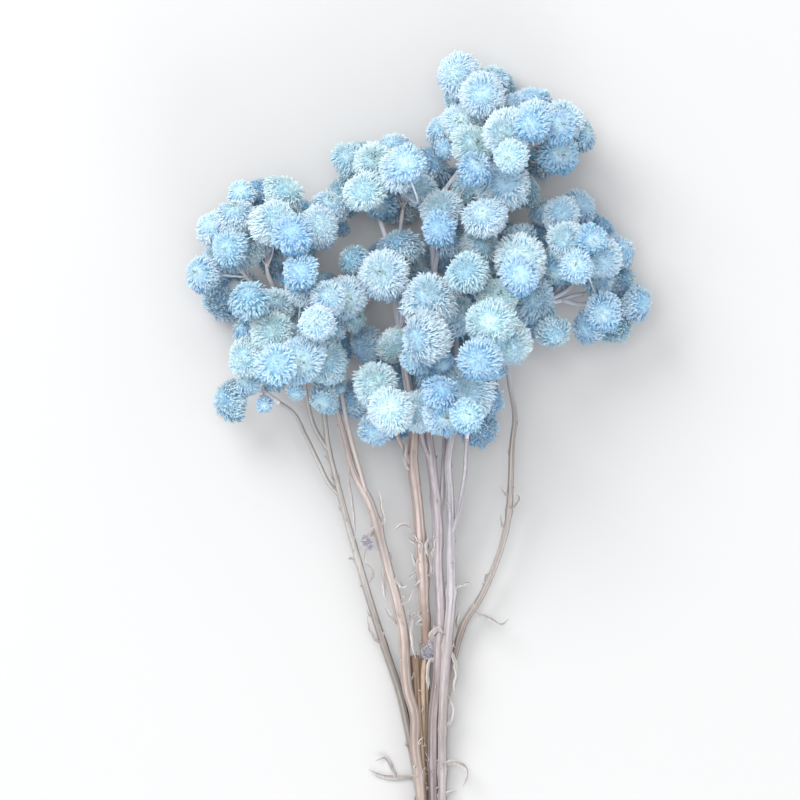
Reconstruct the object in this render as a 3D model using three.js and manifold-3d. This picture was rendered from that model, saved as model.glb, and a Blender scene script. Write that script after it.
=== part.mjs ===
// A dried bunch of everlasting flowers, dyed a pale icy blue, laid on its back on a flat surface.
// Six stems and one cut stub come together at the foot. Each stem forks into branches, and each
// branch ends in a spray of small double blooms on thin stalks.
// Units are millimetres. X runs across the bunch, Y from the cut ends to the flowers, Z up.
// The origin lies on the flat underside of the middle stem, just above its cut end.
import * as THREE from "three";
import { mergeVertices } from "three/addons/utils/BufferGeometryUtils.js";
import Module from "manifold-3d";

const wasm = await Module();
wasm.setup();

// How the bunch lies.
const CUT_Y = -15; // the plane of the cut ends
const FLAT_Y = 15; // the middle stem lies flat from its cut end to here
const SAG = 22; // how far the flower end sinks under its own weight, below the heights in the tables
const SAG_FROM = 60; // the sag starts here, along Y
const SAG_FULL = 300; // and is at its full depth from here on

// Gaps.
const NODE_GAP = 0.3; // where a spray's stalk meets its branch
const BLOOM_GAP = 0.3; // the least one between two blooms
const STALK_CLEAR = 0.5; // the least one between a stalk and what belongs to another piece
const ROOT_CLEARING = 9; // a spray's stalks may pass this near to the branch that carries it

// Stems, branches and leaves.
const BRANCH_RADII = [1.65, 1.35]; // where a branch leaves its stem, and where its spray begins
const SPINE_SIDES = 6;
const BRANCH_SIDES = 4;
const LEAF_THICKNESS = 0.7;
const LEAF_NARROW = 0.35; // the narrowest that a leaf could get, as a share of its widest
const LEAF_SWELL = [0.15, 0.9]; // the stretch of a half wave that a leaf's width follows

// Blooms.
const FULLNESS = 1.2; // a bloom's full width over the width that its neighbours leave showing
const FLATTEN = 0.86; // a bloom's height along its axis, as a share of its width
const CORE_SHARE = 0.78; // a bloom's core radius, as a share of its outer radius
const BRACT_LEAST = 0.92; // the shortest bract's tip, as a share of the bloom's outer radius
const SMALL_BLOOM = 21; // a bloom no wider than this is a bud with fewer bracts
const LEAST_HEIGHT = 0.7; // a bloom on the surface is pressed to this share of its radius
const RISE_COST = 1.8; // a bloom would rather sink this many times as far as rise
const LAYER_DEPTH = [0, 13, 27]; // how far behind the cluster's dome each layer lies

// Blooms on the far side, which the front ones hide.
const FAR_LAYER = LAYER_DEPTH.length;
const FAR_BLOOMS = {
  left_high: 3, left_low: 4, shoulder: 2, crown: 4, upper: 2, nest: 1, middle: 3, skirt: 3, right: 3,
};
const FAR_SPREAD = 0.66; // how far out they sit, as a share of the cluster's reach
const FAR_DEPTH = 1.5; // how deep they hang, as a share of the dome's height over them
const FAR_DIAMETER = [22, 28];
const GOLDEN_TURN = 2.399963; // the angle from one to the next, in radians

// Hubs, the short stout stalks where the sprays begin, and the thin stalks that carry the blooms.
const HUB_RADIUS = 1.6;
const HUB_TAPER = 0.8;
const HUB_LENGTH = 13;
const HUB_STRAIGHT = 0.3; // the share of it that runs straight on from the branch
const HUB_FORKS = [0.3, 1]; // the stretch of its bent part that stalks fork from
const STALK_RADIUS = 0.9;
const STALK_SIDES = 3;
const STALK_TOP = 0.72; // where a stalk takes over from its bloom, as a share of the bloom's radius
const STALK_DROP = 0.35; // how far it runs straight down from its bloom, as a share of its length
const STALK_RISE = 0.25; // and how far straight out of its hub
const LONG_STALK = 36; // a stalk longer than this bends in two places instead of one
const LAYER_LIFT = [0.5, 0.3, 0.1, -0.3]; // how much each layer's blooms turn up, to the open side

// How finely pieces are kept clear of each other, and the numbers that the draws start from.
const STEM_BALLS = 6; // how far apart the keep-clear balls lie along a stem
const STALK_BALLS = 3; // and along a hub or a stalk
const STALK_CHECKS = 5; // places checked along each stretch of a stalk
const PUSH_SHARE = 0.6; // how much of an overlap is taken out in one round
const PUSH_ROUNDS = 200;
const HAIR = 1e-6; // less than this counts as touching
const SLIVER = 0.05; // the finest detail kept where solids are joined
const SEED = 46;

const ICY_BLUE = 0xa9d0e6;
const DRY_STEM = 0xc4b8b6;
const CUT_BROWN = 0xa08a76;

const UP = new THREE.Vector3(0, 0, 1);
const RIGHT = new THREE.Vector3(1, 0, 0);
const STEEP = 0.9; // a path that rises more than this is framed from the side

// The clusters: the middle of each (x, y, z), and how far its blooms reach from it along each axis.
const CLUSTERS = {
  left_high: { centre: [-112, 437, 64], reach: [62, 48, 42] },
  left_low: { centre: [-95, 372, 76], reach: [60, 62, 44] },
  shoulder: { centre: [-30, 483, 58], reach: [48, 34, 34] },
  crown: { centre: [55, 515, 66], reach: [66, 52, 44] },
  upper: { centre: [36, 452, 72], reach: [54, 44, 40] },
  nest: { centre: [-28, 415, 84], reach: [38, 28, 32] },
  middle: { centre: [36, 386, 80], reach: [68, 54, 52] },
  skirt: { centre: [-8, 325, 78], reach: [62, 38, 46] },
  right: { centre: [112, 420, 62], reach: [52, 58, 42] },
};

// The sprays. root is where the branch hands over to the spray. Each bloom is x, y, the diameter
// that shows and its layer: 0 is the front, 1 lies behind it, 2 is deep in the shade.
const SPRAYS = {
  left_high_west: {
    cluster: "left_high",
    root: [-121, 404, 62],
    blooms: [
      [-132, 469, 17, 1], [-136, 453, 24, 0], [-152, 445, 20, 0], [-145, 424, 25, 1],
      [-160, 414, 21, 1], [-141, 400, 32, 1],
    ],
  },
  left_high_top: {
    cluster: "left_high",
    root: [-112, 409, 66],
    blooms: [
      [-120, 471, 18, 1], [-103, 469, 24, 0], [-92, 459, 18, 1], [-108, 448, 28, 0],
      [-126, 432, 24, 0],
    ],
  },
  left_high_east: {
    cluster: "left_high",
    root: [-101, 410, 60],
    blooms: [
      [-78, 447, 24, 0], [-70, 460, 22, 0], [-64, 447, 13, 1], [-91, 447, 20, 0],
      [-91, 430, 17, 2], [-106, 429, 28, 1], [-102, 409, 10, 2],
    ],
  },
  left_low_west: {
    cluster: "left_low",
    root: [-105, 352, 70],
    blooms: [
      [-125, 391, 20, 1], [-129, 374, 18, 1], [-127, 354, 24, 0], [-110, 373, 24, 0],
      [-108, 391, 21, 0],
    ],
  },
  left_low_middle: {
    cluster: "left_low",
    root: [-90, 348, 64],
    blooms: [
      [-90, 402, 21, 0], [-90, 387, 27, 0], [-91, 369, 17, 1], [-91, 353, 28, 1],
      [-94, 331, 12, 1],
    ],
  },
  left_low_east: {
    cluster: "left_low",
    root: [-66, 352, 72],
    blooms: [
      [-76, 407, 19, 1], [-60, 397, 25, 0], [-53, 381, 15, 1], [-71, 395, 20, 0],
      [-78, 378, 21, 0], [-70, 374, 18, 1],
    ],
  },
  left_low_foot: {
    cluster: "left_low",
    root: [-68, 326, 66],
    blooms: [[-72, 351, 25, 1], [-74, 326, 18, 1], [-63, 333, 8, 1]],
  },
  left_low_stray: {
    cluster: "left_low",
    root: [-107, 324, 74],
    blooms: [
      [-140, 325, 24, 1], [-126, 339, 18, 1], [-111, 340, 17, 1], [-111, 352, 18, 1],
      [-116, 322, 10, 1],
    ],
  },
  shoulder_west: {
    cluster: "shoulder",
    root: [-35, 452, 54],
    blooms: [
      [-57, 494, 21, 1], [-48, 499, 17, 1], [-39, 490, 25, 0], [-60, 468, 24, 1],
      [-45, 470, 24, 0],
    ],
  },
  shoulder_east: {
    cluster: "shoulder",
    root: [-20, 452, 56],
    blooms: [
      [-26, 500, 24, 0], [-21, 485, 24, 0], [-24, 466, 29, 0], [0, 490, 24, 1],
      [-7, 472, 21, 0],
    ],
  },
  crown_tip: {
    cluster: "crown",
    root: [32, 502, 60],
    blooms: [
      [21, 552, 27, 0], [43, 548, 21, 1], [36, 537, 27, 0], [20, 536, 18, 1],
      [40, 524, 20, 2],
    ],
  },
  crown_west: {
    cluster: "crown",
    root: [22, 488, 66],
    blooms: [
      [23, 519, 24, 0], [9, 514, 20, 1], [29, 503, 24, 0], [42, 496, 17, 1], [11, 501, 13, 2],
    ],
  },
  crown_east: {
    cluster: "crown",
    root: [66, 494, 60],
    blooms: [
      [57, 529, 18, 1], [72, 532, 24, 1], [73, 520, 24, 0], [93, 521, 21, 0],
      [105, 512, 21, 1], [90, 497, 23, 2],
    ],
  },
  crown_front: {
    cluster: "crown",
    root: [54, 488, 68],
    blooms: [[53, 510, 28, 0], [75, 503, 31, 0], [56, 493, 21, 1]],
  },
  upper_west: {
    cluster: "upper",
    root: [10, 440, 68],
    blooms: [[12, 479, 22, 1], [27, 472, 21, 1], [31, 486, 19, 2], [8, 457, 25, 0]],
  },
  upper_east: {
    cluster: "upper",
    root: [42, 438, 66],
    blooms: [[50, 475, 31, 0], [66, 472, 22, 1], [38, 451, 25, 0], [52, 443, 17, 2], [63, 437, 21, 1]],
  },
  upper_low: {
    cluster: "upper",
    root: [22, 414, 70],
    blooms: [[15, 437, 22, 1], [35, 432, 24, 0], [7, 426, 21, 1]],
  },
  nest: {
    cluster: "nest",
    root: [-20, 398, 80],
    blooms: [[-53, 422, 20, 1], [-32, 413, 29, 0], [-22, 430, 28, 1], [-7, 406, 21, 1]],
  },
  middle_west: {
    cluster: "middle",
    root: [10, 358, 76],
    blooms: [[0, 393, 31, 0], [19, 384, 24, 1], [-3, 368, 28, 0], [15, 366, 24, 1], [7, 352, 17, 2]],
  },
  middle_heart: {
    cluster: "middle",
    root: [32, 372, 70],
    blooms: [
      [26, 412, 25, 1], [42, 422, 18, 1], [47, 395, 24, 0], [41, 378, 27, 1],
      [34, 353, 25, 2], [45, 345, 15, 2],
    ],
  },
  middle_east: {
    cluster: "middle",
    root: [62, 388, 70],
    blooms: [
      [63, 422, 31, 0], [60, 407, 24, 1], [70, 395, 27, 1], [85, 412, 25, 1],
      [66, 380, 22, 2], [56, 365, 27, 0], [86, 373, 20, 1],
    ],
  },
  middle_stray: {
    cluster: "middle",
    root: [-18, 350, 76],
    blooms: [
      [-24, 364, 24, 0], [-45, 364, 22, 1], [-40, 366, 13, 2], [-15, 393, 13, 1], [-31, 353, 19, 2],
      [-11, 353, 17, 2],
    ],
  },
  skirt_west: {
    cluster: "skirt",
    root: [-24, 302, 70],
    blooms: [[-38, 335, 25, 0], [-54, 326, 24, 1], [-38, 305, 20, 1], [-27, 318, 27, 0]],
  },
  skirt_middle: {
    cluster: "skirt",
    root: [-6, 302, 72],
    blooms: [[-16, 335, 27, 1], [0, 340, 18, 2], [-7, 317, 25, 0], [7, 314, 21, 1], [12, 307, 14, 1]],
  },
  skirt_east: {
    cluster: "skirt",
    root: [26, 298, 74],
    blooms: [[23, 330, 35, 0], [40, 325, 21, 1], [34, 307, 24, 1]],
  },
  right_top: {
    cluster: "right",
    root: [88, 428, 56],
    blooms: [[104, 460, 22, 1], [92, 455, 22, 0], [80, 457, 17, 1], [78, 443, 17, 2]],
  },
  right_middle: {
    cluster: "right",
    root: [104, 410, 60],
    blooms: [
      [117, 445, 22, 1], [96, 435, 24, 0], [112, 437, 18, 2], [133, 429, 22, 1],
      [120, 424, 24, 0],
    ],
  },
  right_edge: {
    cluster: "right",
    root: [110, 400, 54],
    blooms: [[102, 417, 20, 2], [134, 409, 21, 1], [118, 410, 18, 1], [127, 399, 17, 2]],
  },
  right_low: {
    cluster: "right",
    root: [118, 394, 62],
    blooms: [[146, 393, 21, 1], [131, 380, 24, 1], [112, 377, 21, 1]],
  },
};

// The stems. spine runs from the cut end upwards, and radii are spread evenly along it, foot first.
// Where ends is given, the spine runs on to that spray's root. Each branch starts on its stem and
// runs to the root of the spray it is named for.
const STEMS = {
  stem_left: {
    spine: [
      [-5.6, CUT_Y, 2.3], [-6.2, 30, 2.8], [-9.7, 60, 5], [-14, 84, 9], [-20, 112, 14],
      [-33.6, 155, 25], [-43, 185, 33], [-52.5, 218, 41], [-60, 245, 48], [-66.5, 270, 54],
      [-72, 293, 58], [-75, 317, 60], [-80, 340, 60], [-92, 368, 58], [-104, 391, 59],
    ],
    radii: [2.3, 2.9, 2.6, 2, 1.5],
    ends: "left_high_top",
    branches: {
      left_high_west: [[-99, 382, 58], [-110, 394, 59]],
      left_high_east: [[-99, 382, 58], [-101, 397, 58]],
      left_low_west: [[-75, 318, 60], [-80, 334, 66], [-91, 345, 69]],
      left_low_stray: [
        [-64, 258, 51], [-71, 266, 56], [-78, 280, 62], [-87.5, 300, 70], [-96, 316, 74],
      ],
      left_low_middle: [[-72, 290, 58], [-81, 305, 60], [-87, 328, 61]],
    },
  },
  stem_centre_left: {
    spine: [
      [-6.2, CUT_Y, 15], [-6.2, 30, 15.8], [-8, 60, 20], [-10.5, 80, 23.5], [-11, 104, 27.5],
      [-15.4, 119, 30], [-17.5, 137, 33], [-18, 155, 36], [-24, 185, 41.5], [-29.4, 205, 45],
      [-33.6, 222, 48.5], [-43, 254, 54], [-54, 275, 58], [-60, 298, 61],
    ],
    radii: [2.9, 3.4, 3.9, 3.3, 1.8],
    ends: "left_low_foot",
    branches: {
      left_low_east: [[-43, 254, 54], [-48, 271, 60], [-55, 296, 67], [-60, 318, 71]],
    },
  },
  stem_centre: {
    spine: [
      [0, CUT_Y, 2.5], [0, FLAT_Y, 2.5], [-1.5, 45, 4.5], [-4, 81, 9], [-4, 104, 13],
      [-4, 132, 19], [-2.5, 151, 23.5], [-4, 181, 31], [-5.6, 212, 40], [-8.4, 249, 51],
      [-12, 285, 60], [-11, 305, 64], [-14, 325, 65], [-18, 352, 65], [-22, 378, 64],
      [-25, 405, 60], [-28, 430, 56],
    ],
    radii: [2.9, 3.2, 4.1, 3.2, 1.7],
    ends: "shoulder_west",
    branches: {
      shoulder_east: [[-26.5, 418, 58], [-22, 436, 56]],
      nest: [[-21, 372, 64], [-20, 385, 70]],
      middle_stray: [[-13, 320, 65], [-15, 336, 70]],
      skirt_west: [[-10.5, 270, 56], [-16, 285, 62]],
    },
  },
  stem_centre_right: {
    spine: [
      [2.6, CUT_Y, 8.2], [2.4, 30, 8.8], [2, 76, 14], [2.8, 104, 19], [4.9, 123, 23],
      [6.3, 151, 29], [7.5, 170, 33], [7, 186, 37], [5.6, 209, 42], [5.6, 235, 48],
      [4.2, 254, 52], [1.4, 280, 58], [-1, 303, 61], [-1, 325, 60], [0, 350, 59],
      [2, 380, 60], [3, 416, 60], [2, 444, 58], [7, 466, 58],
    ],
    radii: [2.5, 3.1, 3.2, 2.2, 1.5],
    ends: "crown_west",
    branches: {
      middle_west: [
        [5.6, 235, 48], [8.4, 254, 51], [9.8, 280, 54.5], [11, 303, 58], [12, 325, 61],
        [11, 343, 67],
      ],
      skirt_middle: [[1, 282, 58], [-4, 293, 66]],
      upper_west: [[3, 416, 60], [6, 429, 64]],
      crown_tip: [[4, 456, 58], [15, 476, 56], [25, 492, 56]],
    },
  },
  stem_right_inner: {
    spine: [
      [8.9, CUT_Y, 7.6], [8.8, 30, 8.4], [9, 67, 13.5], [9.2, 95, 19.5], [10.2, 121, 25.5],
      [12.3, 151, 31.5], [15.2, 186, 37], [14.7, 227, 46.5], [14.7, 244, 51], [14, 263, 57],
      [12.8, 280, 62], [15, 298, 67], [20, 318, 69], [25, 340, 69], [29, 358, 68],
    ],
    radii: [2.3, 2.9, 3.1, 2.3, 1.5],
    ends: "middle_heart",
    branches: {
      skirt_east: [
        [14.7, 227, 46.5], [20, 244, 54], [22.4, 258, 59], [25, 276, 66], [25.5, 288, 71],
      ],
      upper_low: [[22, 327, 69], [19, 352, 62], [19, 385, 60], [20, 404, 63]],
      crown_front: [
        [27, 350, 69], [38, 374, 55], [43, 405, 53], [47, 440, 53], [51, 466, 56],
      ],
      upper_east: [[40.8, 392, 54], [36, 410, 58], [38, 426, 62]],
      crown_east: [[47, 440, 53], [56, 466, 52], [62, 484, 54]],
    },
  },
  stem_right_outer: {
    spine: [
      [5.4, CUT_Y, 2.2], [5.5, 30, 2.8], [7, 60, 5.5], [8.5, 90, 10.5], [11.9, 117, 16],
      [17.5, 144, 22], [24.5, 167, 27], [36.4, 186, 33], [48.3, 214, 40], [55.3, 241, 47],
      [57, 265, 52], [58, 293, 57], [60, 314, 60], [56, 339, 61], [55, 360, 60],
    ],
    radii: [2.2, 2.8, 2.3, 2.1, 1.5],
    ends: "middle_east",
    branches: {
      right_top: [[56, 362, 60], [68, 382, 51], [85, 396, 47], [92, 405, 49], [90, 417, 53]],
      right_middle: [[86, 397, 47], [96, 402, 53]],
      right_edge: [[80, 393, 48], [94, 396, 46], [102, 399, 49]],
      right_low: [[94, 396, 46], [104, 393, 50], [111, 393, 56]],
    },
  },
  cut_stub: {
    spine: [
      [-3.6, CUT_Y, 8.4], [-3.9, 30, 9.4], [-6.2, 70, 14.2], [-8.7, 100, 18.5], [-10, 123, 21.5],
      [-11, 144, 24],
    ],
    radii: [2.8, 3.2],
    branches: {},
  },
};

// Dry leaves, curled by drying. Each is the middle line of one thin blade, from the stem it grows on
// to its tip, and its width. They are fused to the stem they are listed under.
const LEAVES = {
  stem_left: [
    { line: [[-33, 151, 25], [-38, 155, 29], [-42, 162, 32], [-44, 172, 34]], width: 3 },
    { line: [[-8, 57, 4.5], [-17, 58, 3], [-26, 57, 2.4], [-34, 58.5, 2], [-43, 62.5, 4]], width: 3.4 },
    { line: [[-24, 57, 2.5], [-27, 64, 3.5], [-32, 70, 3], [-38.5, 69, 4.5]], width: 2.6 },
  ],
  stem_centre_left: [
    { line: [[-38, 236, 51], [-33, 239, 55], [-34.5, 249, 59], [-36.4, 263, 61]], width: 3.2 },
    {
      line: [[-56, 285, 59.5], [-57, 268, 63], [-55, 254, 62], [-53, 240, 59], [-53, 227, 60]],
      width: 1.8,
    },
    { line: [[-37, 232, 50], [-43, 229, 54], [-48, 226, 55]], width: 5 },
    { line: [[-22, 176, 40], [-17, 183, 45], [-11, 192, 46]], width: 2 },
  ],
  stem_centre: [
    { line: [[-11, 277, 58], [-15, 277, 62], [-17.5, 283, 65], [-17.5, 295, 68]], width: 3 },
    { line: [[-7, 230, 45], [-11, 232, 50], [-17, 237, 54], [-26, 233, 54]], width: 3.2 },
    { line: [[-6, 219, 42], [-10.5, 223.5, 47], [-15.4, 228, 49]], width: 2.6 },
    { line: [[-5.4, 206, 38], [-10, 210, 42], [-12.5, 218, 45]], width: 3 },
    { line: [[-5, 200, 36], [-10, 203, 41], [-15.4, 198, 43]], width: 2.8 },
    { line: [[-4, 170, 28], [-9, 174, 34], [-14, 172, 37], [-15.4, 177, 40]], width: 2.4 },
  ],
  stem_centre_right: [
    { line: [[5.6, 225, 45], [0, 226, 49], [-2, 222, 52], [-1, 214, 53]], width: 2.8 },
    { line: [[6.3, 151, 29], [2, 158, 35], [5, 163, 38], [10.5, 160, 38]], width: 4 },
    { line: [[6, 140, 27], [1, 141, 32], [-1, 132, 33], [-1, 120, 31]], width: 3 },
  ],
  stem_right_inner: [
    { line: [[12, 150, 29], [17, 143, 34], [19, 131, 34], [17, 116, 31]], width: 3.2 },
    { line: [[9, 92, 18], [14, 97, 23], [16, 107, 26], [12.6, 117, 28]], width: 3 },
    {
      line: [[9, 66, 13], [14, 68, 17], [20, 68, 18], [26, 64, 16], [27, 57, 15], [23.5, 51, 16]],
      width: 3.4,
    },
    { line: [[8.8, 42, 9.5], [13, 46, 12], [19, 48, 12]], width: 2.6 },
    { line: [[15, 190, 38], [20, 193, 43], [26, 196, 45], [31, 194, 45]], width: 2.6 },
  ],
  stem_right_outer: [
    { line: [[56, 256, 50], [53, 259, 54], [50, 264, 57]], width: 2.6 },
    { line: [[56, 246, 48], [61, 251, 52], [63, 257, 54], [59, 260, 57]], width: 2.8 },
    { line: [[53, 232, 44.5], [51, 237, 49], [50, 244, 51]], width: 2.2 },
    { line: [[31, 177, 30.5], [37, 173, 34], [43, 171, 36], [50, 166, 34], [56, 170, 32]], width: 2.8 },
    { line: [[22, 161, 25.5], [19, 168, 29], [21, 176, 32]], width: 2.4 },
  ],
};

// A seeded draw from 0 to 1, by a 32-bit mixing generator.
function drawsFrom(seed) {
  const stride = 0x6d2b79f5;
  let state = seed >>> 0;
  return () => {
    state = (state + stride) >>> 0;
    let mixed = Math.imul(state ^ (state >>> 15), state | 1);
    mixed ^= mixed + Math.imul(mixed ^ (mixed >>> 7), mixed | 61);
    return ((mixed ^ (mixed >>> 14)) >>> 0) / 2 ** 32;
  };
}

const counted = (from, count) => Array.from({ length: count }, (_, i) => from + i);
const between = ([from, to], share) => THREE.MathUtils.lerp(from, to, share);

// The value at a share of a list of evenly spread values.
function valueAlong(values, share) {
  const place = share * (values.length - 1);
  const before = Math.min(Math.floor(place), values.length - 2);
  return between(values.slice(before), place - before);
}

// A point of the tables as it lies, with the sag taken off its height.
function point([x, y, z]) {
  const share = THREE.MathUtils.clamp((y - SAG_FROM) / (SAG_FULL - SAG_FROM), 0, 1);
  return new THREE.Vector3(x, y, z - SAG * share);
}

// Every stem's tubes: the spine first, then its branches, each with its points and radii.
function stemTubes() {
  const tubes = [];
  for (const [stem, data] of Object.entries(STEMS)) {
    const spine = data.spine.map(point);
    if (data.ends) spine.push(point(SPRAYS[data.ends].root));
    tubes.push({ stem, points: spine, radii: data.radii, spray: data.ends });
    for (const [spray, line] of Object.entries(data.branches)) {
      const points = [...line, SPRAYS[spray].root].map(point);
      tubes.push({ stem, points, radii: BRANCH_RADII, spray });
    }
  }
  return tubes;
}

// How high the dome of a cluster stands over its middle at x, y, from 0 at the rim to its reach.
function domeHeight({ centre, reach }, x, y) {
  const out = ((x - centre[0]) / reach[0]) ** 2 + ((y - centre[1]) / reach[1]) ** 2;
  return reach[2] * Math.sqrt(Math.max(0, 1 - out));
}

// The hub of the spray that a tube ends in: it leaves the end face straight, then turns to the
// middle of its blooms.
function hubOf(tube) {
  const spray = SPRAYS[tube.spray];
  const cluster = CLUSTERS[spray.cluster];
  const middle = new THREE.Vector3();
  for (const [x, y, , layer] of spray.blooms) {
    const z = point(cluster.centre).z + domeHeight(cluster, x, y) - LAYER_DEPTH[layer];
    middle.add(new THREE.Vector3(x, y, z).divideScalar(spray.blooms.length));
  }
  const root = tube.points.at(-1);
  const ahead = root.clone().sub(tube.points.at(-2)).normalize();
  const start = root.clone().addScaledVector(ahead, NODE_GAP);
  const bend = start.clone().addScaledVector(ahead, HUB_LENGTH * HUB_STRAIGHT);
  const turned = middle.sub(bend).normalize().add(ahead).normalize();
  const end = bend.clone().addScaledVector(turned, HUB_LENGTH * (1 - HUB_STRAIGHT));
  return { spray: tube.spray, points: [start, bend, end], turned };
}

// Balls along a path, about spacing apart, which other pieces keep clear of.
function ballsAlong(points, radii, spacing, owner) {
  const balls = [];
  for (let i = 1; i < points.length; i++) {
    const steps = Math.max(1, Math.round(points[i].distanceTo(points[i - 1]) / spacing));
    for (let k = i === 1 ? 0 : 1; k <= steps; k++) {
      const at = points[i - 1].clone().lerp(points[i], k / steps);
      balls.push({ at, radius: valueAlong(radii, (i - 1 + k / steps) / (points.length - 1)), owner });
    }
  }
  return balls;
}

// The height nearest to the wanted one at which a ball at x, y touches none of the others.
function freeHeight(x, y, radius, wanted, others) {
  const near = [];
  for (const other of others) {
    const reach = radius + other.radius + BLOOM_GAP;
    const across = (other.at.x - x) ** 2 + (other.at.y - y) ** 2;
    if (across < reach * reach) near.push([other.at.z, Math.sqrt(reach * reach - across)]);
  }
  const lowest = radius * LEAST_HEIGHT;
  const heights = [Math.max(wanted, lowest)];
  for (const [z, half] of near) heights.push(z - half, z + half);
  const cost = (height) => (height > wanted ? RISE_COST * (height - wanted) : wanted - height);
  let best = null;
  for (const height of heights) {
    if (height < lowest) continue;
    if (near.some(([z, half]) => Math.abs(height - z) < half - HAIR)) continue;
    if (best === null || cost(height) < cost(best) - HAIR) best = height;
  }
  return best;
}

// The place of every bloom: those of the photographed side first, front layer to back, then the
// far side.
function placeBlooms(obstacles) {
  const blooms = [];
  const place = (spray, x, y, radius, wanted, layer) => {
    const z = freeHeight(x, y, radius, wanted, [...blooms, ...obstacles]);
    if (z !== null) blooms.push({ at: new THREE.Vector3(x, y, z), radius, spray, layer });
  };
  LAYER_DEPTH.forEach((depth, layer) => {
    for (const [name, spray] of Object.entries(SPRAYS)) {
      const cluster = CLUSTERS[spray.cluster];
      const middle = point(cluster.centre).z;
      for (const [x, y, diameter, itsLayer] of spray.blooms) {
        if (itsLayer !== layer) continue;
        const wanted = middle + domeHeight(cluster, x, y) - depth;
        place(name, x, y, (FULLNESS * diameter) / 2, wanted, layer);
      }
    }
  });
  const draw = drawsFrom(SEED);
  for (const [name, count] of Object.entries(FAR_BLOOMS)) {
    const { centre, reach } = CLUSTERS[name];
    const roots = Object.entries(SPRAYS).filter(([, spray]) => spray.cluster === name);
    for (let i = 0; i < count; i++) {
      const angle = (i + draw()) * GOLDEN_TURN;
      const out = FAR_SPREAD * Math.sqrt((i + 0.5) / count);
      const x = centre[0] + reach[0] * out * Math.cos(angle);
      const y = centre[1] + reach[1] * out * Math.sin(angle);
      const radius = between(FAR_DIAMETER, draw()) / 2;
      const away = ([, spray]) => Math.hypot(spray.root[0] - x, spray.root[1] - y);
      const [owner] = roots.reduce((a, b) => (away(b) < away(a) ? b : a));
      const depth = FAR_DEPTH * domeHeight(CLUSTERS[name], x, y);
      place(owner, x, y, radius, point(centre).z - depth, FAR_LAYER);
    }
  }
  return blooms;
}

// Moves the inner points of a stalk off the balls that it would run through.
function pushClear(points, radius, balls) {
  const last = points.length - 1;
  const gap = new THREE.Vector3();
  let moved = true;
  for (let round = 0; moved && round < PUSH_ROUNDS; round++) {
    moved = false;
    for (let i = 1; i <= last; i++) {
      for (let k = 0; k <= STALK_CHECKS; k++) {
        const share = k / STALK_CHECKS;
        const at = points[i - 1].clone().lerp(points[i], share);
        for (const ball of balls) {
          gap.subVectors(at, ball.at);
          const need = radius + ball.radius + STALK_CLEAR;
          const away = gap.length();
          if (away >= need || away === 0) continue;
          gap.multiplyScalar((PUSH_SHARE * (need - away)) / away);
          if (i > 1) points[i - 1].addScaledVector(gap, 1 - share);
          if (i < last) points[i].addScaledVector(gap, share);
          moved = true;
        }
      }
    }
  }
}

// The stalk of each bloom, from under the bloom to its spray's hub, and the way the bloom faces.
function growStalks(hubs, blooms, stemBalls, hubBalls) {
  const draw = drawsFrom(SEED + 1);
  const stalkBalls = [];
  for (const { spray, points: [start, bend, end], turned } of hubs) {
    for (const bloom of blooms.filter((one) => one.spray === spray)) {
      const lift = new THREE.Vector3(0, 0, LAYER_LIFT[bloom.layer]);
      bloom.axis = bloom.at.clone().sub(end).normalize().add(lift).normalize();
      bloom.roll = 2 * Math.PI * draw();
      const fork = bend.clone().lerp(end, between(HUB_FORKS, draw()));
      const top = bloom.at.clone().addScaledVector(bloom.axis, -STALK_TOP * bloom.radius);
      const length = top.distanceTo(fork);
      const curve = new THREE.CubicBezierCurve3(
        top,
        top.clone().addScaledVector(bloom.axis, -STALK_DROP * length),
        fork.clone().addScaledVector(turned, STALK_RISE * length),
        fork,
      );
      bloom.stalk = curve.getPoints(length > LONG_STALK ? 3 : 2);
      pushClear(bloom.stalk, STALK_RADIUS, [
        ...blooms.filter((one) => one !== bloom),
        ...stemBalls.filter((ball) => ball.at.distanceTo(start) > ROOT_CLEARING),
        ...[...hubBalls, ...stalkBalls].filter((ball) => ball.owner !== spray),
      ]);
      stalkBalls.push(...ballsAlong(bloom.stalk, [STALK_RADIUS, STALK_RADIUS], STALK_BALLS, spray));
    }
  }
}

// A closed surface as a solid, from its corners and the corner numbers of its triangles. What would
// dip into the surface that the bunch lies on is pressed flat.
function solidOf(corners, triangles) {
  const lying = corners.map((corner) => [corner.x, corner.y, Math.max(0, corner.z)]);
  return new wasm.Manifold(
    new wasm.Mesh({
      numProp: 3,
      vertProperties: new Float32Array(lying.flat()),
      triVerts: new Uint32Array(triangles.flat()),
    }),
  );
}

// Solids joined in one, without the slivers that joining leaves or a scrap that hangs loose.
function joined(solids) {
  const whole = solids.reduce((sum, solid) => sum.add(solid)).asOriginal().simplify(SLIVER);
  return whole.decompose().reduce((a, b) => (b.volume() > a.volume() ? b : a));
}

// Two directions across a path at each of its points, turning as little as they can along it.
function framesAlong(points, firstAcross) {
  let across = firstAcross;
  return points.map((at, i) => {
    const ahead = new THREE.Vector3();
    if (i > 0) ahead.add(at.clone().sub(points[i - 1]).normalize());
    if (i < points.length - 1) ahead.add(points[i + 1].clone().sub(at).normalize());
    ahead.normalize();
    across ??= new THREE.Vector3().crossVectors(ahead, Math.abs(ahead.z) < STEEP ? UP : RIGHT);
    across = across.clone().addScaledVector(ahead, -across.dot(ahead)).normalize();
    return { at, across, over: new THREE.Vector3().crossVectors(ahead, across) };
  });
}

// A ring of corners round one point of a path.
function ringAt({ at, across, over }, radius, sides) {
  return counted(0, sides).map((side) => {
    const angle = (2 * Math.PI * side) / sides;
    return at
      .clone()
      .addScaledVector(across, radius * Math.cos(angle))
      .addScaledVector(over, radius * Math.sin(angle));
  });
}

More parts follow.
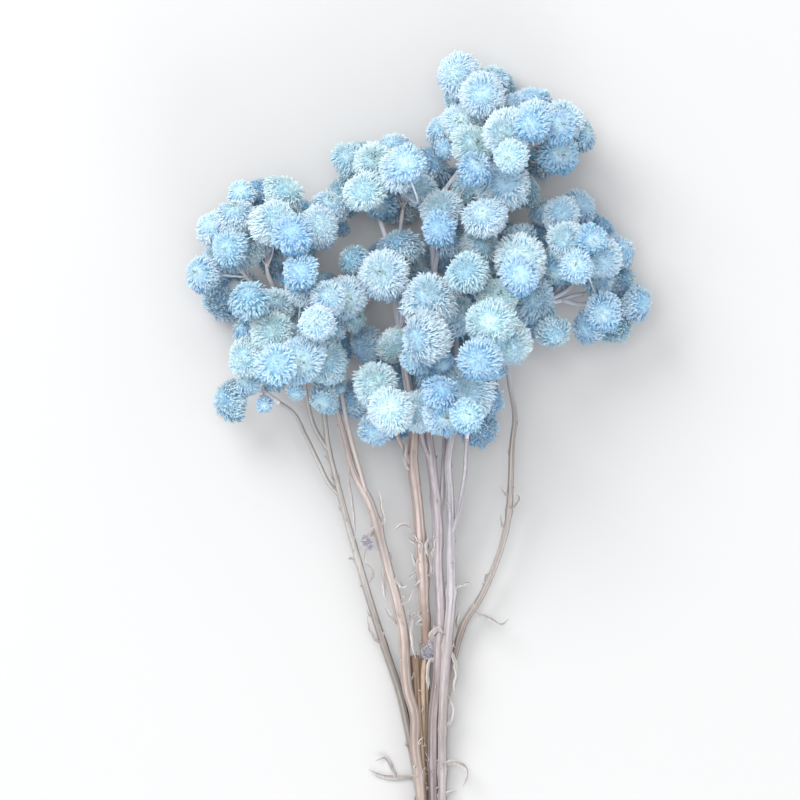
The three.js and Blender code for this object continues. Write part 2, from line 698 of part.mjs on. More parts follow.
// The two triangles of each four-cornered face between a ring and the next, all the way round.
function band(ring, next) {
  return ring.flatMap((corner, i) => {
    const j = (i + 1) % ring.length;
    return [
      [corner, ring[j], next[j]],
      [corner, next[j], next[i]],
    ];
  });
}

// The triangles that close a ring.
const fan = (ring) => ring.slice(2).map((corner, i) => [ring[0], ring[i + 1], corner]);

// A closed solid through rings of corners, every ring with the same number of them.
function loft(rings) {
  const sides = rings[0].length;
  const numbers = rings.map((_, i) => counted(i * sides, sides));
  const triangles = numbers.slice(1).flatMap((ring, i) => band(numbers[i], ring));
  triangles.push(...fan([...numbers[0]].reverse()), ...fan(numbers.at(-1)));
  return solidOf(rings.flat(), triangles);
}

// A round rod along a path. Its radius keeps its first value along the first stretch.
function rod(points, radii, sides) {
  const narrowing = Math.max(1, points.length - 2);
  const rings = framesAlong(points).map((frame, i) =>
    ringAt(frame, valueAlong(radii, Math.max(0, i - 1) / narrowing), sides),
  );
  return loft(rings);
}

// A thin dry blade along its middle line: narrow at the stem, widest after it, and narrow at the tip.
function blade({ line, width }) {
  const half = LEAF_THICKNESS / 2;
  const rings = framesAlong(line.map(point)).map(({ at, across, over }, i) => {
    const swell = Math.sin(Math.PI * between(LEAF_SWELL, i / (line.length - 1)));
    const reach = (width / 2) * between([LEAF_NARROW, 1], swell);
    return [
      [-reach, -half],
      [reach, -half],
      [reach, half],
      [-reach, half],
    ].map(([x, y]) => at.clone().addScaledVector(across, x).addScaledVector(over, y));
  });
  return loft(rings);
}

// The form that a bloom is raised from, standing on one face. That face takes the stalk, the ones
// beside it stay plain where there are enough others, and the rest each carry a bract.
function bloomForm(shape, plainBesideBase) {
  shape.deleteAttribute("normal");
  shape.deleteAttribute("uv");
  const merged = mergeVertices(shape);
  const place = merged.getAttribute("position");
  const corners = counted(0, place.count).map((i) => new THREE.Vector3().fromBufferAttribute(place, i));
  const index = merged.index.array;
  const faces = counted(0, index.length / 3).map((i) => [...index.slice(3 * i, 3 * i + 3)]);
  const middleOf = (face) => face.reduce((sum, i) => sum.add(corners[i]), new THREE.Vector3()).normalize();
  const down = new THREE.Quaternion().setFromUnitVectors(middleOf(faces[0]), new THREE.Vector3(0, 0, -1));
  corners.forEach((corner) => corner.applyQuaternion(down));
  const [base, ...others] = faces;
  const isPlain = (face) => plainBesideBase && face.filter((i) => base.includes(i)).length === 2;
  const raised = others.filter((face) => !isPlain(face)).map((face) => ({ face, middle: middleOf(face) }));
  return { corners, base, plain: others.filter(isPlain), raised };
}

const FULL_FORM = bloomForm(new THREE.IcosahedronGeometry(1, 0), true);
const BUD_FORM = bloomForm(new THREE.OctahedronGeometry(1, 0), false);

// One bloom with its stalk: a core with a pointed bract raised from every face, and the face under
// it drawn out along the stalk.
function bloomSolid(bloom, draw) {
  const form = 2 * bloom.radius > SMALL_BLOOM ? FULL_FORM : BUD_FORM;
  const turn = new THREE.Quaternion()
    .setFromUnitVectors(UP, bloom.axis)
    .multiply(new THREE.Quaternion().setFromAxisAngle(UP, bloom.roll));
  const placed = (direction, radius) =>
    direction
      .clone()
      .multiply(new THREE.Vector3(radius, radius, radius * FLATTEN))
      .applyQuaternion(turn)
      .add(bloom.at);
  const corners = form.corners.map((corner) => placed(corner, CORE_SHARE * bloom.radius));
  const triangles = [...form.plain];
  for (const { face, middle } of form.raised) {
    const tip = corners.push(placed(middle, bloom.radius * between([BRACT_LEAST, 1], draw()))) - 1;
    triangles.push(...face.map((corner, i) => [corner, face[(i + 1) % face.length], tip]));
  }
  const outward = corners[form.base[0]].clone().sub(bloom.at);
  let ring = form.base;
  for (const frame of framesAlong(bloom.stalk, outward)) {
    const next = counted(corners.length, STALK_SIDES);
    corners.push(...ringAt(frame, STALK_RADIUS, STALK_SIDES));
    triangles.push(...band(ring, next));
    ring = next;
  }
  triangles.push(...fan(ring));
  return solidOf(corners, triangles);
}

// A solid as a named mesh.
function meshOf(name, solid, color, roughness) {
  const { vertProperties, triVerts } = solid.getMesh();
  const geometry = new THREE.BufferGeometry();
  geometry.setAttribute("position", new THREE.BufferAttribute(vertProperties, 3));
  geometry.setIndex(new THREE.BufferAttribute(triVerts, 1));
  geometry.computeVertexNormals();
  const material = new THREE.MeshStandardMaterial({ color, roughness, metalness: 0 });
  const mesh = new THREE.Mesh(geometry, material);
  mesh.name = name;
  return mesh;
}

const tubes = stemTubes();
const hubs = tubes.filter((tube) => tube.spray).map(hubOf);
const stemBalls = tubes.flatMap(({ points, radii, stem }) => ballsAlong(points, radii, STEM_BALLS, stem));
const hubRadii = [HUB_RADIUS, HUB_RADIUS];
const hubBalls = hubs.flatMap(({ points, spray }) => ballsAlong(points, hubRadii, STALK_BALLS, spray));
const blooms = placeBlooms([...stemBalls, ...hubBalls]);
growStalks(hubs, blooms, stemBalls, hubBalls);

const bunch = new THREE.Group();
for (const [stem, data] of Object.entries(STEMS)) {
  const rods = tubes
    .filter((tube) => tube.stem === stem)
    .map(({ points, radii }, i) => rod(points, radii, i === 0 ? SPINE_SIDES : BRANCH_SIDES));
  const blades = (LEAVES[stem] ?? []).map(blade);
  bunch.add(meshOf(stem, joined([...rods, ...blades]), data.ends ? DRY_STEM : CUT_BROWN, 0.85));
}
const bractDraw = drawsFrom(SEED + 2);
for (const hub of hubs) {
  const hubRod = rod(hub.points, [HUB_RADIUS, HUB_RADIUS * HUB_TAPER], BRANCH_SIDES);
  const heads = blooms
    .filter((bloom) => bloom.spray === hub.spray)
    .map((bloom) => bloomSolid(bloom, bractDraw));
  bunch.add(meshOf("spray_" + hub.spray, joined([hubRod, ...heads]), ICY_BLUE, 0.9));
}

export default bunch;
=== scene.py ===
# %% [markdown]
# # A dried bunch of pale blue everlastings
# The real bunch is six dry stems and one broken one. The stems fork into branches, and every
# branch carries a spray of round double blooms dyed an icy blue. It has no vase, so it lies on its
# back. Its shape was settled first as plain solids. This lesson dresses them: it loads the solids
# as a fixed frame, grows the same stems and sprays again from the same few numbers, and gives
# them their bracts, ribs and colours. A sculpted or scanned bunch would be quicker to start, but
# then no bloom could be moved or recoloured by its numbers.

# %% The frame
import math

import bmesh
import bpy
import numpy as np
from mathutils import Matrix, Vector


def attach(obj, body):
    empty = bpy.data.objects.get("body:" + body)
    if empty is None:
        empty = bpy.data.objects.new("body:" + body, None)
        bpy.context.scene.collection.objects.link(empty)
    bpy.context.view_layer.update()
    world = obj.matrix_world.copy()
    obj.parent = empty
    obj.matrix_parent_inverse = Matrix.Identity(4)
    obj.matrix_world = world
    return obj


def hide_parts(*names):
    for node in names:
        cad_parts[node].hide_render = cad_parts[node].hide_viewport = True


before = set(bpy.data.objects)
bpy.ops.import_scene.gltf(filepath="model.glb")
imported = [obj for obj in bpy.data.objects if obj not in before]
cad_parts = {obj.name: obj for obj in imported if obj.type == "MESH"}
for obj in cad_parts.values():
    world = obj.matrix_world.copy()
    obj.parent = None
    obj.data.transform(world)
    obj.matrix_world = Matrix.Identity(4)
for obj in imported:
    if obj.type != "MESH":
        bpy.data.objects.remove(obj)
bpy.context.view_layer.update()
print("solids in the frame:", len(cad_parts))

# %% [markdown]
# The tables that follow are in millimetres and Blender works in metres, so one factor turns the
# one into the other when a mesh is made. X runs across the bunch, Y from the cut ends to the
# flowers and Z up, towards the camera. The flower end sinks under its own weight, and every
# point of the tables takes that sag off its height.

# %% Units, lie and gaps
MM = 0.001
CUT_Y = -15  # the plane of the cut ends
FLAT_Y = 15  # the middle stem lies flat from its cut end to here
SAG = 22  # how far the flower end sinks
SAG_FROM = 60
SAG_FULL = 300
NODE_GAP = 0.3  # where a spray's stalk meets its branch
BLOOM_GAP = 0.3
STALK_CLEAR = 0.5
ROOT_CLEARING = 9
SEED = 46


def lying(table_point):
    """A point of the tables as it lies, with the sag taken off its height."""
    x, y, z = table_point
    share = min(1.0, max(0.0, (y - SAG_FROM) / (SAG_FULL - SAG_FROM)))
    return np.array([x, y, z - SAG * share])


def between(ends, share):
    """The value that lies that share of the way from the first end to the second."""
    return ends[0] + (ends[1] - ends[0]) * share


print("the flower end sinks", SAG, "mm")

# %% [markdown]
# The blooms stand in nine clusters. Each cluster is a low dome: its blooms lie on the dome, or a
# layer or two behind it. A few domes describe the outline of the whole bunch better than a height
# typed in for every bloom, and they keep the front of each cluster rounded.

# %% The clusters
# The middle of each, and how far its blooms reach from it along each axis.
CLUSTERS = {
    "left_high": {"centre": [-112, 437, 64], "reach": [62, 48, 42]},
    "left_low": {"centre": [-95, 372, 76], "reach": [60, 62, 44]},
    "shoulder": {"centre": [-30, 483, 58], "reach": [48, 34, 34]},
    "crown": {"centre": [55, 515, 66], "reach": [66, 52, 44]},
    "upper": {"centre": [36, 452, 72], "reach": [54, 44, 40]},
    "nest": {"centre": [-28, 415, 84], "reach": [38, 28, 32]},
    "middle": {"centre": [36, 386, 80], "reach": [68, 54, 52]},
    "skirt": {"centre": [-8, 325, 78], "reach": [62, 38, 46]},
    "right": {"centre": [112, 420, 62], "reach": [52, 58, 42]},
}

print("clusters:", len(CLUSTERS))

# %% [markdown]
# Twenty-nine sprays hang on the branches. A spray is one short stout stalk, the hub, that forks
# into a thin stalk for every bloom. The widths and places were judged from the photograph, one
# bloom at a time, since no rule would put the blooms where this bunch has them.

# %% The table of the sprays
# Each spray has the point where its branch hands over to it, and then its blooms: x, y, the
# diameter that shows and the layer, 0 at the front, 1 behind it and 2 deep in the shade. Its name
# starts with the name of its cluster.
SPRAY_ROWS = {
    "left_high_west": ([-121, 404, 62], [
        [-132, 469, 17, 1], [-136, 453, 24, 0], [-152, 445, 20, 0], [-145, 424, 25, 1],
        [-160, 414, 21, 1], [-141, 400, 32, 1],
    ]),
    "left_high_top": ([-112, 409, 66], [
        [-120, 471, 18, 1], [-103, 469, 24, 0], [-92, 459, 18, 1], [-108, 448, 28, 0],
        [-126, 432, 24, 0],
    ]),
    "left_high_east": ([-101, 410, 60], [
        [-78, 447, 24, 0], [-70, 460, 22, 0], [-64, 447, 13, 1], [-91, 447, 20, 0],
        [-91, 430, 17, 2], [-106, 429, 28, 1], [-102, 409, 10, 2],
    ]),
    "left_low_west": ([-105, 352, 70], [
        [-125, 391, 20, 1], [-129, 374, 18, 1], [-127, 354, 24, 0], [-110, 373, 24, 0],
        [-108, 391, 21, 0],
    ]),
    "left_low_middle": ([-90, 348, 64], [
        [-90, 402, 21, 0], [-90, 387, 27, 0], [-91, 369, 17, 1], [-91, 353, 28, 1],
        [-94, 331, 12, 1],
    ]),
    "left_low_east": ([-66, 352, 72], [
        [-76, 407, 19, 1], [-60, 397, 25, 0], [-53, 381, 15, 1], [-71, 395, 20, 0],
        [-78, 378, 21, 0], [-70, 374, 18, 1],
    ]),
    "left_low_foot": ([-68, 326, 66], [[-72, 351, 25, 1], [-74, 326, 18, 1], [-63, 333, 8, 1]]),
    "left_low_stray": ([-107, 324, 74], [
        [-140, 325, 24, 1], [-126, 339, 18, 1], [-111, 340, 17, 1], [-111, 352, 18, 1],
        [-116, 322, 10, 1],
    ]),
    "shoulder_west": ([-35, 452, 54], [
        [-57, 494, 21, 1], [-48, 499, 17, 1], [-39, 490, 25, 0], [-60, 468, 24, 1],
        [-45, 470, 24, 0],
    ]),
    "shoulder_east": ([-20, 452, 56], [
        [-26, 500, 24, 0], [-21, 485, 24, 0], [-24, 466, 29, 0], [0, 490, 24, 1], [-7, 472, 21, 0],
    ]),
    "crown_tip": ([32, 502, 60], [
        [21, 552, 27, 0], [43, 548, 21, 1], [36, 537, 27, 0], [20, 536, 18, 1], [40, 524, 20, 2],
    ]),
    "crown_west": ([22, 488, 66], [
        [23, 519, 24, 0], [9, 514, 20, 1], [29, 503, 24, 0], [42, 496, 17, 1], [11, 501, 13, 2],
    ]),
    "crown_east": ([66, 494, 60], [
        [57, 529, 18, 1], [72, 532, 24, 1], [73, 520, 24, 0], [93, 521, 21, 0], [105, 512, 21, 1],
        [90, 497, 23, 2],
    ]),
    "crown_front": ([54, 488, 68], [[53, 510, 28, 0], [75, 503, 31, 0], [56, 493, 21, 1]]),
    "upper_west": ([10, 440, 68], [
        [12, 479, 22, 1], [27, 472, 21, 1], [31, 486, 19, 2], [8, 457, 25, 0],
    ]),
    "upper_east": ([42, 438, 66], [
        [50, 475, 31, 0], [66, 472, 22, 1], [38, 451, 25, 0], [52, 443, 17, 2], [63, 437, 21, 1],
    ]),
    "upper_low": ([22, 414, 70], [[15, 437, 22, 1], [35, 432, 24, 0], [7, 426, 21, 1]]),
    "nest": ([-20, 398, 80], [
        [-53, 422, 20, 1], [-32, 413, 29, 0], [-22, 430, 28, 1], [-7, 406, 21, 1],
    ]),
    "middle_west": ([10, 358, 76], [
        [0, 393, 31, 0], [19, 384, 24, 1], [-3, 368, 28, 0], [15, 366, 24, 1], [7, 352, 17, 2],
    ]),
    "middle_heart": ([32, 372, 70], [
        [26, 412, 25, 1], [42, 422, 18, 1], [47, 395, 24, 0], [41, 378, 27, 1], [34, 353, 25, 2],
        [45, 345, 15, 2],
    ]),
    "middle_east": ([62, 388, 70], [
        [63, 422, 31, 0], [60, 407, 24, 1], [70, 395, 27, 1], [85, 412, 25, 1], [66, 380, 22, 2],
        [56, 365, 27, 0], [86, 373, 20, 1],
    ]),
    "middle_stray": ([-18, 350, 76], [
        [-24, 364, 24, 0], [-45, 364, 22, 1], [-40, 366, 13, 2], [-15, 393, 13, 1],
        [-31, 353, 19, 2], [-11, 353, 17, 2],
    ]),
    "skirt_west": ([-24, 302, 70], [
        [-38, 335, 25, 0], [-54, 326, 24, 1], [-38, 305, 20, 1], [-27, 318, 27, 0],
    ]),
    "skirt_middle": ([-6, 302, 72], [
        [-16, 335, 27, 1], [0, 340, 18, 2], [-7, 317, 25, 0], [7, 314, 21, 1], [12, 307, 14, 1],
    ]),
    "skirt_east": ([26, 298, 74], [[23, 330, 35, 0], [40, 325, 21, 1], [34, 307, 24, 1]]),
    "right_top": ([88, 428, 56], [
        [104, 460, 22, 1], [92, 455, 22, 0], [80, 457, 17, 1], [78, 443, 17, 2],
    ]),
    "right_middle": ([104, 410, 60], [
        [117, 445, 22, 1], [96, 435, 24, 0], [112, 437, 18, 2], [133, 429, 22, 1],
        [120, 424, 24, 0],
    ]),
    "right_edge": ([110, 400, 54], [
        [102, 417, 20, 2], [134, 409, 21, 1], [118, 410, 18, 1], [127, 399, 17, 2],
    ]),
    "right_low": ([118, 394, 62], [[146, 393, 21, 1], [131, 380, 24, 1], [112, 377, 21, 1]]),
}
SPRAYS = {
    name: {"cluster": next(filter(name.startswith, CLUSTERS)), "root": root, "blooms": rows}
    for name, (root, rows) in SPRAY_ROWS.items()
}

print("sprays:", len(SPRAYS), "with", sum(len(rows) for _, rows in SPRAY_ROWS.values()), "blooms")

# %% [markdown]
# A stem is a spine and its branches. The points follow the bends that the real stems dried in, so
# they are a given list and not a formula. A curve through them rounds the bends later.

# %% The table of the stems
# spine runs from the cut end upwards, and radii are spread evenly along it, foot first.
# Where ends is given, the spine runs on to that spray's root. Each branch starts on its stem and
# runs to the root of the spray it is named for.
STEMS = {
    "stem_left": {
        "spine": [
            [-5.6, CUT_Y, 2.3], [-6.2, 30, 2.8], [-9.7, 60, 5], [-14, 84, 9], [-20, 112, 14],
            [-33.6, 155, 25], [-43, 185, 33], [-52.5, 218, 41], [-60, 245, 48], [-66.5, 270, 54],
            [-72, 293, 58], [-75, 317, 60], [-80, 340, 60], [-92, 368, 58], [-104, 391, 59],
        ],
        "radii": [2.3, 2.9, 2.6, 2, 1.5],
        "ends": "left_high_top",
        "branches": {
            "left_high_west": [[-99, 382, 58], [-110, 394, 59]],
            "left_high_east": [[-99, 382, 58], [-101, 397, 58]],
            "left_low_west": [[-75, 318, 60], [-80, 334, 66], [-91, 345, 69]],
            "left_low_stray": [
                [-64, 258, 51], [-71, 266, 56], [-78, 280, 62], [-87.5, 300, 70], [-96, 316, 74],
            ],
            "left_low_middle": [[-72, 290, 58], [-81, 305, 60], [-87, 328, 61]],
        },
    },
    "stem_centre_left": {
        "spine": [
            [-6.2, CUT_Y, 15], [-6.2, 30, 15.8], [-8, 60, 20], [-10.5, 80, 23.5], [-11, 104, 27.5],
            [-15.4, 119, 30], [-17.5, 137, 33], [-18, 155, 36], [-24, 185, 41.5], [-29.4, 205, 45],
            [-33.6, 222, 48.5], [-43, 254, 54], [-54, 275, 58], [-60, 298, 61],
        ],
        "radii": [2.9, 3.4, 3.9, 3.3, 1.8],
        "ends": "left_low_foot",
        "branches": {
            "left_low_east": [[-43, 254, 54], [-48, 271, 60], [-55, 296, 67], [-60, 318, 71]],
        },
    },
    "stem_centre": {
        "spine": [
            [0, CUT_Y, 2.5], [0, FLAT_Y, 2.5], [-1.5, 45, 4.5], [-4, 81, 9], [-4, 104, 13],
            [-4, 132, 19], [-2.5, 151, 23.5], [-4, 181, 31], [-5.6, 212, 40], [-8.4, 249, 51],
            [-12, 285, 60], [-11, 305, 64], [-14, 325, 65], [-18, 352, 65], [-22, 378, 64],
            [-25, 405, 60], [-28, 430, 56],
        ],
        "radii": [2.9, 3.2, 4.1, 3.2, 1.7],
        "ends": "shoulder_west",
        "branches": {
            "shoulder_east": [[-26.5, 418, 58], [-22, 436, 56]],
            "nest": [[-21, 372, 64], [-20, 385, 70]],
            "middle_stray": [[-13, 320, 65], [-15, 336, 70]],
            "skirt_west": [[-10.5, 270, 56], [-16, 285, 62]],
        },
    },
    "stem_centre_right": {
        "spine": [
            [2.6, CUT_Y, 8.2], [2.4, 30, 8.8], [2, 76, 14], [2.8, 104, 19], [4.9, 123, 23],
            [6.3, 151, 29], [7.5, 170, 33], [7, 186, 37], [5.6, 209, 42], [5.6, 235, 48],
            [4.2, 254, 52], [1.4, 280, 58], [-1, 303, 61], [-1, 325, 60], [0, 350, 59],
            [2, 380, 60], [3, 416, 60], [2, 444, 58], [7, 466, 58],
        ],
        "radii": [2.5, 3.1, 3.2, 2.2, 1.5],
        "ends": "crown_west",
        "branches": {
            "middle_west": [
                [5.6, 235, 48], [8.4, 254, 51], [9.8, 280, 54.5], [11, 303, 58], [12, 325, 61],
                [11, 343, 67],
            ],
            "skirt_middle": [[1, 282, 58], [-4, 293, 66]],
            "upper_west": [[3, 416, 60], [6, 429, 64]],
            "crown_tip": [[4, 456, 58], [15, 476, 56], [25, 492, 56]],
        },
    },
    "stem_right_inner": {
        "spine": [
            [8.9, CUT_Y, 7.6], [8.8, 30, 8.4], [9, 67, 13.5], [9.2, 95, 19.5], [10.2, 121, 25.5],
            [12.3, 151, 31.5], [15.2, 186, 37], [14.7, 227, 46.5], [14.7, 244, 51], [14, 263, 57],
            [12.8, 280, 62], [15, 298, 67], [20, 318, 69], [25, 340, 69], [29, 358, 68],
        ],
        "radii": [2.3, 2.9, 3.1, 2.3, 1.5],
        "ends": "middle_heart",
        "branches": {
            "skirt_east": [
                [14.7, 227, 46.5], [20, 244, 54], [22.4, 258, 59], [25, 276, 66], [25.5, 288, 71],
            ],
            "upper_low": [[22, 327, 69], [19, 352, 62], [19, 385, 60], [20, 404, 63]],
            "crown_front": [
                [27, 350, 69], [38, 374, 55], [43, 405, 53], [47, 440, 53], [51, 466, 56],
            ],
            "upper_east": [[40.8, 392, 54], [36, 410, 58], [38, 426, 62]],
            "crown_east": [[47, 440, 53], [56, 466, 52], [62, 484, 54]],
        },
    },
    "stem_right_outer": {
        "spine": [
            [5.4, CUT_Y, 2.2], [5.5, 30, 2.8], [7, 60, 5.5], [8.5, 90, 10.5], [11.9, 117, 16],
            [17.5, 144, 22], [24.5, 167, 27], [36.4, 186, 33], [48.3, 214, 40], [55.3, 241, 47],
            [57, 265, 52], [58, 293, 57], [60, 314, 60], [56, 339, 61], [55, 360, 60],
        ],
        "radii": [2.2, 2.8, 2.3, 2.1, 1.5],
        "ends": "middle_east",
        "branches": {
            "right_top": [[56, 362, 60], [68, 382, 51], [85, 396, 47], [92, 405, 49], [90, 417, 53]],
            "right_middle": [[86, 397, 47], [96, 402, 53]],
            "right_edge": [[80, 393, 48], [94, 396, 46], [102, 399, 49]],
            "right_low": [[94, 396, 46], [104, 393, 50], [111, 393, 56]],
        },
    },
    "cut_stub": {
        "spine": [
            [-3.6, CUT_Y, 8.4], [-3.9, 30, 9.4], [-6.2, 70, 14.2], [-8.7, 100, 18.5], [-10, 123, 21.5],
            [-11, 144, 24],
        ],
        "radii": [2.8, 3.2],
        "branches": {},
    },
}

branch_count = sum(len(stem["branches"]) for stem in STEMS.values())
print("stems:", len(STEMS), "with", branch_count, "branches")

# %% [markdown]
# The leaves dried into narrow curled strips that cling to the stems. Each is a width and a middle
# line from the stem to its tip.

# %% The table of the dry leaves
LEAVES = {
    "stem_left": [
        (3, [[-33, 151, 25], [-38, 155, 29], [-42, 162, 32], [-44, 172, 34]]),
        (3.4, [[-8, 57, 4.5], [-17, 58, 3], [-26, 57, 2.4], [-34, 58.5, 2], [-43, 62.5, 4]]),
        (2.6, [[-24, 57, 2.5], [-27, 64, 3.5], [-32, 70, 3], [-38.5, 69, 4.5]]),
    ],
    "stem_centre_left": [
        (3.2, [[-38, 236, 51], [-33, 239, 55], [-34.5, 249, 59], [-36.4, 263, 61]]),
        (1.8, [[-56, 285, 59.5], [-57, 268, 63], [-55, 254, 62], [-53, 240, 59], [-53, 227, 60]]),
        (5, [[-37, 232, 50], [-43, 229, 54], [-48, 226, 55]]),
        (2, [[-22, 176, 40], [-17, 183, 45], [-11, 192, 46]]),
    ],
    "stem_centre": [
        (3, [[-11, 277, 58], [-15, 277, 62], [-17.5, 283, 65], [-17.5, 295, 68]]),
        (3.2, [[-7, 230, 45], [-11, 232, 50], [-17, 237, 54], [-26, 233, 54]]),
        (2.6, [[-6, 219, 42], [-10.5, 223.5, 47], [-15.4, 228, 49]]),
        (3, [[-5.4, 206, 38], [-10, 210, 42], [-12.5, 218, 45]]),
        (2.8, [[-5, 200, 36], [-10, 203, 41], [-15.4, 198, 43]]),
        (2.4, [[-4, 170, 28], [-9, 174, 34], [-14, 172, 37], [-15.4, 177, 40]]),
    ],
    "stem_centre_right": [
        (2.8, [[5.6, 225, 45], [0, 226, 49], [-2, 222, 52], [-1, 214, 53]]),
        (4, [[6.3, 151, 29], [2, 158, 35], [5, 163, 38], [10.5, 160, 38]]),
        (3, [[6, 140, 27], [1, 141, 32], [-1, 132, 33], [-1, 120, 31]]),
    ],
    "stem_right_inner": [
        (3.2, [[12, 150, 29], [17, 143, 34], [19, 131, 34], [17, 116, 31]]),
        (3, [[9, 92, 18], [14, 97, 23], [16, 107, 26], [12.6, 117, 28]]),
        (3.4, [
            [9, 66, 13], [14, 68, 17], [20, 68, 18], [26, 64, 16], [27, 57, 15], [23.5, 51, 16],
        ]),
        (2.6, [[8.8, 42, 9.5], [13, 46, 12], [19, 48, 12]]),
        (2.6, [[15, 190, 38], [20, 193, 43], [26, 196, 45], [31, 194, 45]]),
    ],
    "stem_right_outer": [
        (2.6, [[56, 256, 50], [53, 259, 54], [50, 264, 57]]),
        (2.8, [[56, 246, 48], [61, 251, 52], [63, 257, 54], [59, 260, 57]]),
        (2.2, [[53, 232, 44.5], [51, 237, 49], [50, 244, 51]]),
        (2.8, [[31, 177, 30.5], [37, 173, 34], [43, 171, 36], [50, 166, 34], [56, 170, 32]]),
        (2.4, [[22, 161, 25.5], [19, 168, 29], [21, 176, 32]]),
    ],
}

print("leaves:", sum(len(leaves) for leaves in LEAVES.values()))

# %% [markdown]
# The stems and sprays grow again here by the same rules as the solids, so each fine piece lands in
# the place of its solid. The rules draw a few chances, such as where a stalk forks, and a seeded
# draw gives the same chances each time. Any drift between the two would show as a bloom beside its
# own solid.

# %% The seeded draw
WORD = 0xFFFFFFFF
STRIDE = 0x6D2B79F5


def draws_from(seed):
    """Draws from 0 to 1, one after another, by a 32-bit mixing generator."""
    state = seed
    while True:
        state = (state + STRIDE) & WORD
        mixed = ((state ^ (state >> 15)) * (state | 1)) & WORD
        mixed ^= (mixed + (mixed ^ (mixed >> 7)) * (mixed | 61)) & WORD
        yield (mixed ^ (mixed >> 14)) / 2**32


print("first draw:", next(draws_from(SEED)))

# %% [markdown]
# The paths come first: each stem's spine, then its branches. A branch starts on its stem, so only
# its own bends are in the table, and it ends where its spray begins.

# %% Spines and branches
BRANCH_RADII = (1.65, 1.35)  # where a branch leaves its stem, and where its spray begins


def unit(vector):
    return vector / np.linalg.norm(vector)


def value_along(values, share):
    """The value at a share of a list of evenly spread values."""
    return np.interp(share, np.linspace(0, 1, len(values)), values)


def stem_paths():
    """Every stem's paths, spine first, each with its points, its radii and its spray."""
    paths = []
    for stem, data in STEMS.items():
        spine = [lying(p) for p in data["spine"]]
        ends = data.get("ends")
        if ends:
            spine.append(lying(SPRAYS[ends]["root"]))
        paths.append({"stem": stem, "points": spine, "radii": data["radii"], "spray": ends})
        for spray, line in data["branches"].items():
            points = [lying(p) for p in [*line, SPRAYS[spray]["root"]]]
            paths.append({"stem": stem, "points": points, "radii": BRANCH_RADII, "spray": spray})
    return paths


paths = stem_paths()
print("paths:", len(paths))

# %% [markdown]
# At the end of each path stands the hub of its spray. It leaves the branch straight and then turns
# to the middle of the places that its blooms would like to have on the dome of their cluster.

# %% Domes and hubs
HUB_RADIUS = 1.6
HUB_LENGTH = 13
HUB_STRAIGHT = 0.3  # the share of a hub that runs straight on from the branch
LAYER_DEPTH = (0, 13, 27)  # how far behind the cluster's dome each layer lies


def dome_height(cluster, x, y):
    """How high the cluster's dome stands over its middle at x, y."""
    (cx, cy, _), (rx, ry, rz) = cluster["centre"], cluster["reach"]
    return rz * math.sqrt(max(0.0, 1 - ((x - cx) / rx) ** 2 - ((y - cy) / ry) ** 2))


def wanted_place(cluster, bloom):
    """Where a bloom of the tables would stand if nothing else were in its way."""
    x, y, _, layer = bloom
    return x, y, lying(cluster["centre"])[2] + dome_height(cluster, x, y) - LAYER_DEPTH[layer]


def hub_of(path):
    """The hub at the end of a path: its three points and the way that it turns."""
    spray = SPRAYS[path["spray"]]
    cluster = CLUSTERS[spray["cluster"]]
    middle = np.mean([wanted_place(cluster, bloom) for bloom in spray["blooms"]], axis=0)
    root = path["points"][-1]
    ahead = unit(root - path["points"][-2])
    start = root + ahead * NODE_GAP
    bend = start + ahead * (HUB_LENGTH * HUB_STRAIGHT)
    turned = unit(unit(middle - bend) + ahead)
    end = bend + turned * (HUB_LENGTH * (1 - HUB_STRAIGHT))
    return {"spray": path["spray"], "points": [start, bend, end], "turned": turned}


hubs = [hub_of(path) for path in paths if path["spray"]]
print("hubs:", len(hubs))

# %% [markdown]
# No two blooms may grow through each other. Every path is strung with balls that keep its room
# free, every bloom is a ball too, and a new bloom takes the height nearest to the one it wants at
# which it touches nothing. A physics simulation could settle them as well, but it would move the
# blooms across the photographed outline, and this rule only moves them up and down.

# %% Room for each bloom
STEM_BALLS = 6  # how far apart the balls lie along a stem
STALK_BALLS = 3
FULLNESS = 1.2  # a bloom's full width over the width that its neighbours leave showing
LEAST_HEIGHT = 0.7
RISE_COST = 1.8  # a bloom would rather sink this many times as far as rise
HAIR = 1e-6


def balls_along(points, radii, spacing):
    """Balls along a path, each as x, y, z and its radius."""
    balls = []
    for i in range(1, len(points)):
        length = np.linalg.norm(points[i] - points[i - 1])
        steps = max(1, math.floor(length / spacing + 0.5))
        for k in range(0 if i == 1 else 1, steps + 1):
            at = between((points[i - 1], points[i]), k / steps)
            balls.append([*at, value_along(radii, (i - 1 + k / steps) / (len(points) - 1))])
    return balls


def free_height(x, y, radius, wanted, balls):
    """The height nearest to the wanted one at which a ball at x, y touches none of the others."""
    reach = radius + balls[:, 3] + BLOOM_GAP
    across = (balls[:, 0] - x) ** 2 + (balls[:, 1] - y) ** 2
    near = across < reach**2
    heights_of = balls[near, 2]
    half = np.sqrt(reach[near] ** 2 - across[near])
    lowest = radius * LEAST_HEIGHT
    best = None
    best_cost = math.inf
    tried = np.stack([heights_of - half, heights_of + half], axis=1).ravel()
    for height in [max(wanted, lowest), *tried]:
        if height < lowest or np.any(np.abs(height - heights_of) < half - HAIR):
            continue
        cost = RISE_COST * (height - wanted) if height > wanted else wanted - height
        if cost < best_cost - HAIR:
            best, best_cost = height, cost
    return best


stem_balls = [
    ball for path in paths for ball in balls_along(path["points"], path["radii"], STEM_BALLS)
]
hub_balls = [
    (hub["spray"], ball)
    for hub in hubs
    for ball in balls_along(hub["points"], (HUB_RADIUS, HUB_RADIUS), STALK_BALLS)
]
print("balls along the stems:", len(stem_balls), "and along the hubs:", len(hub_balls))

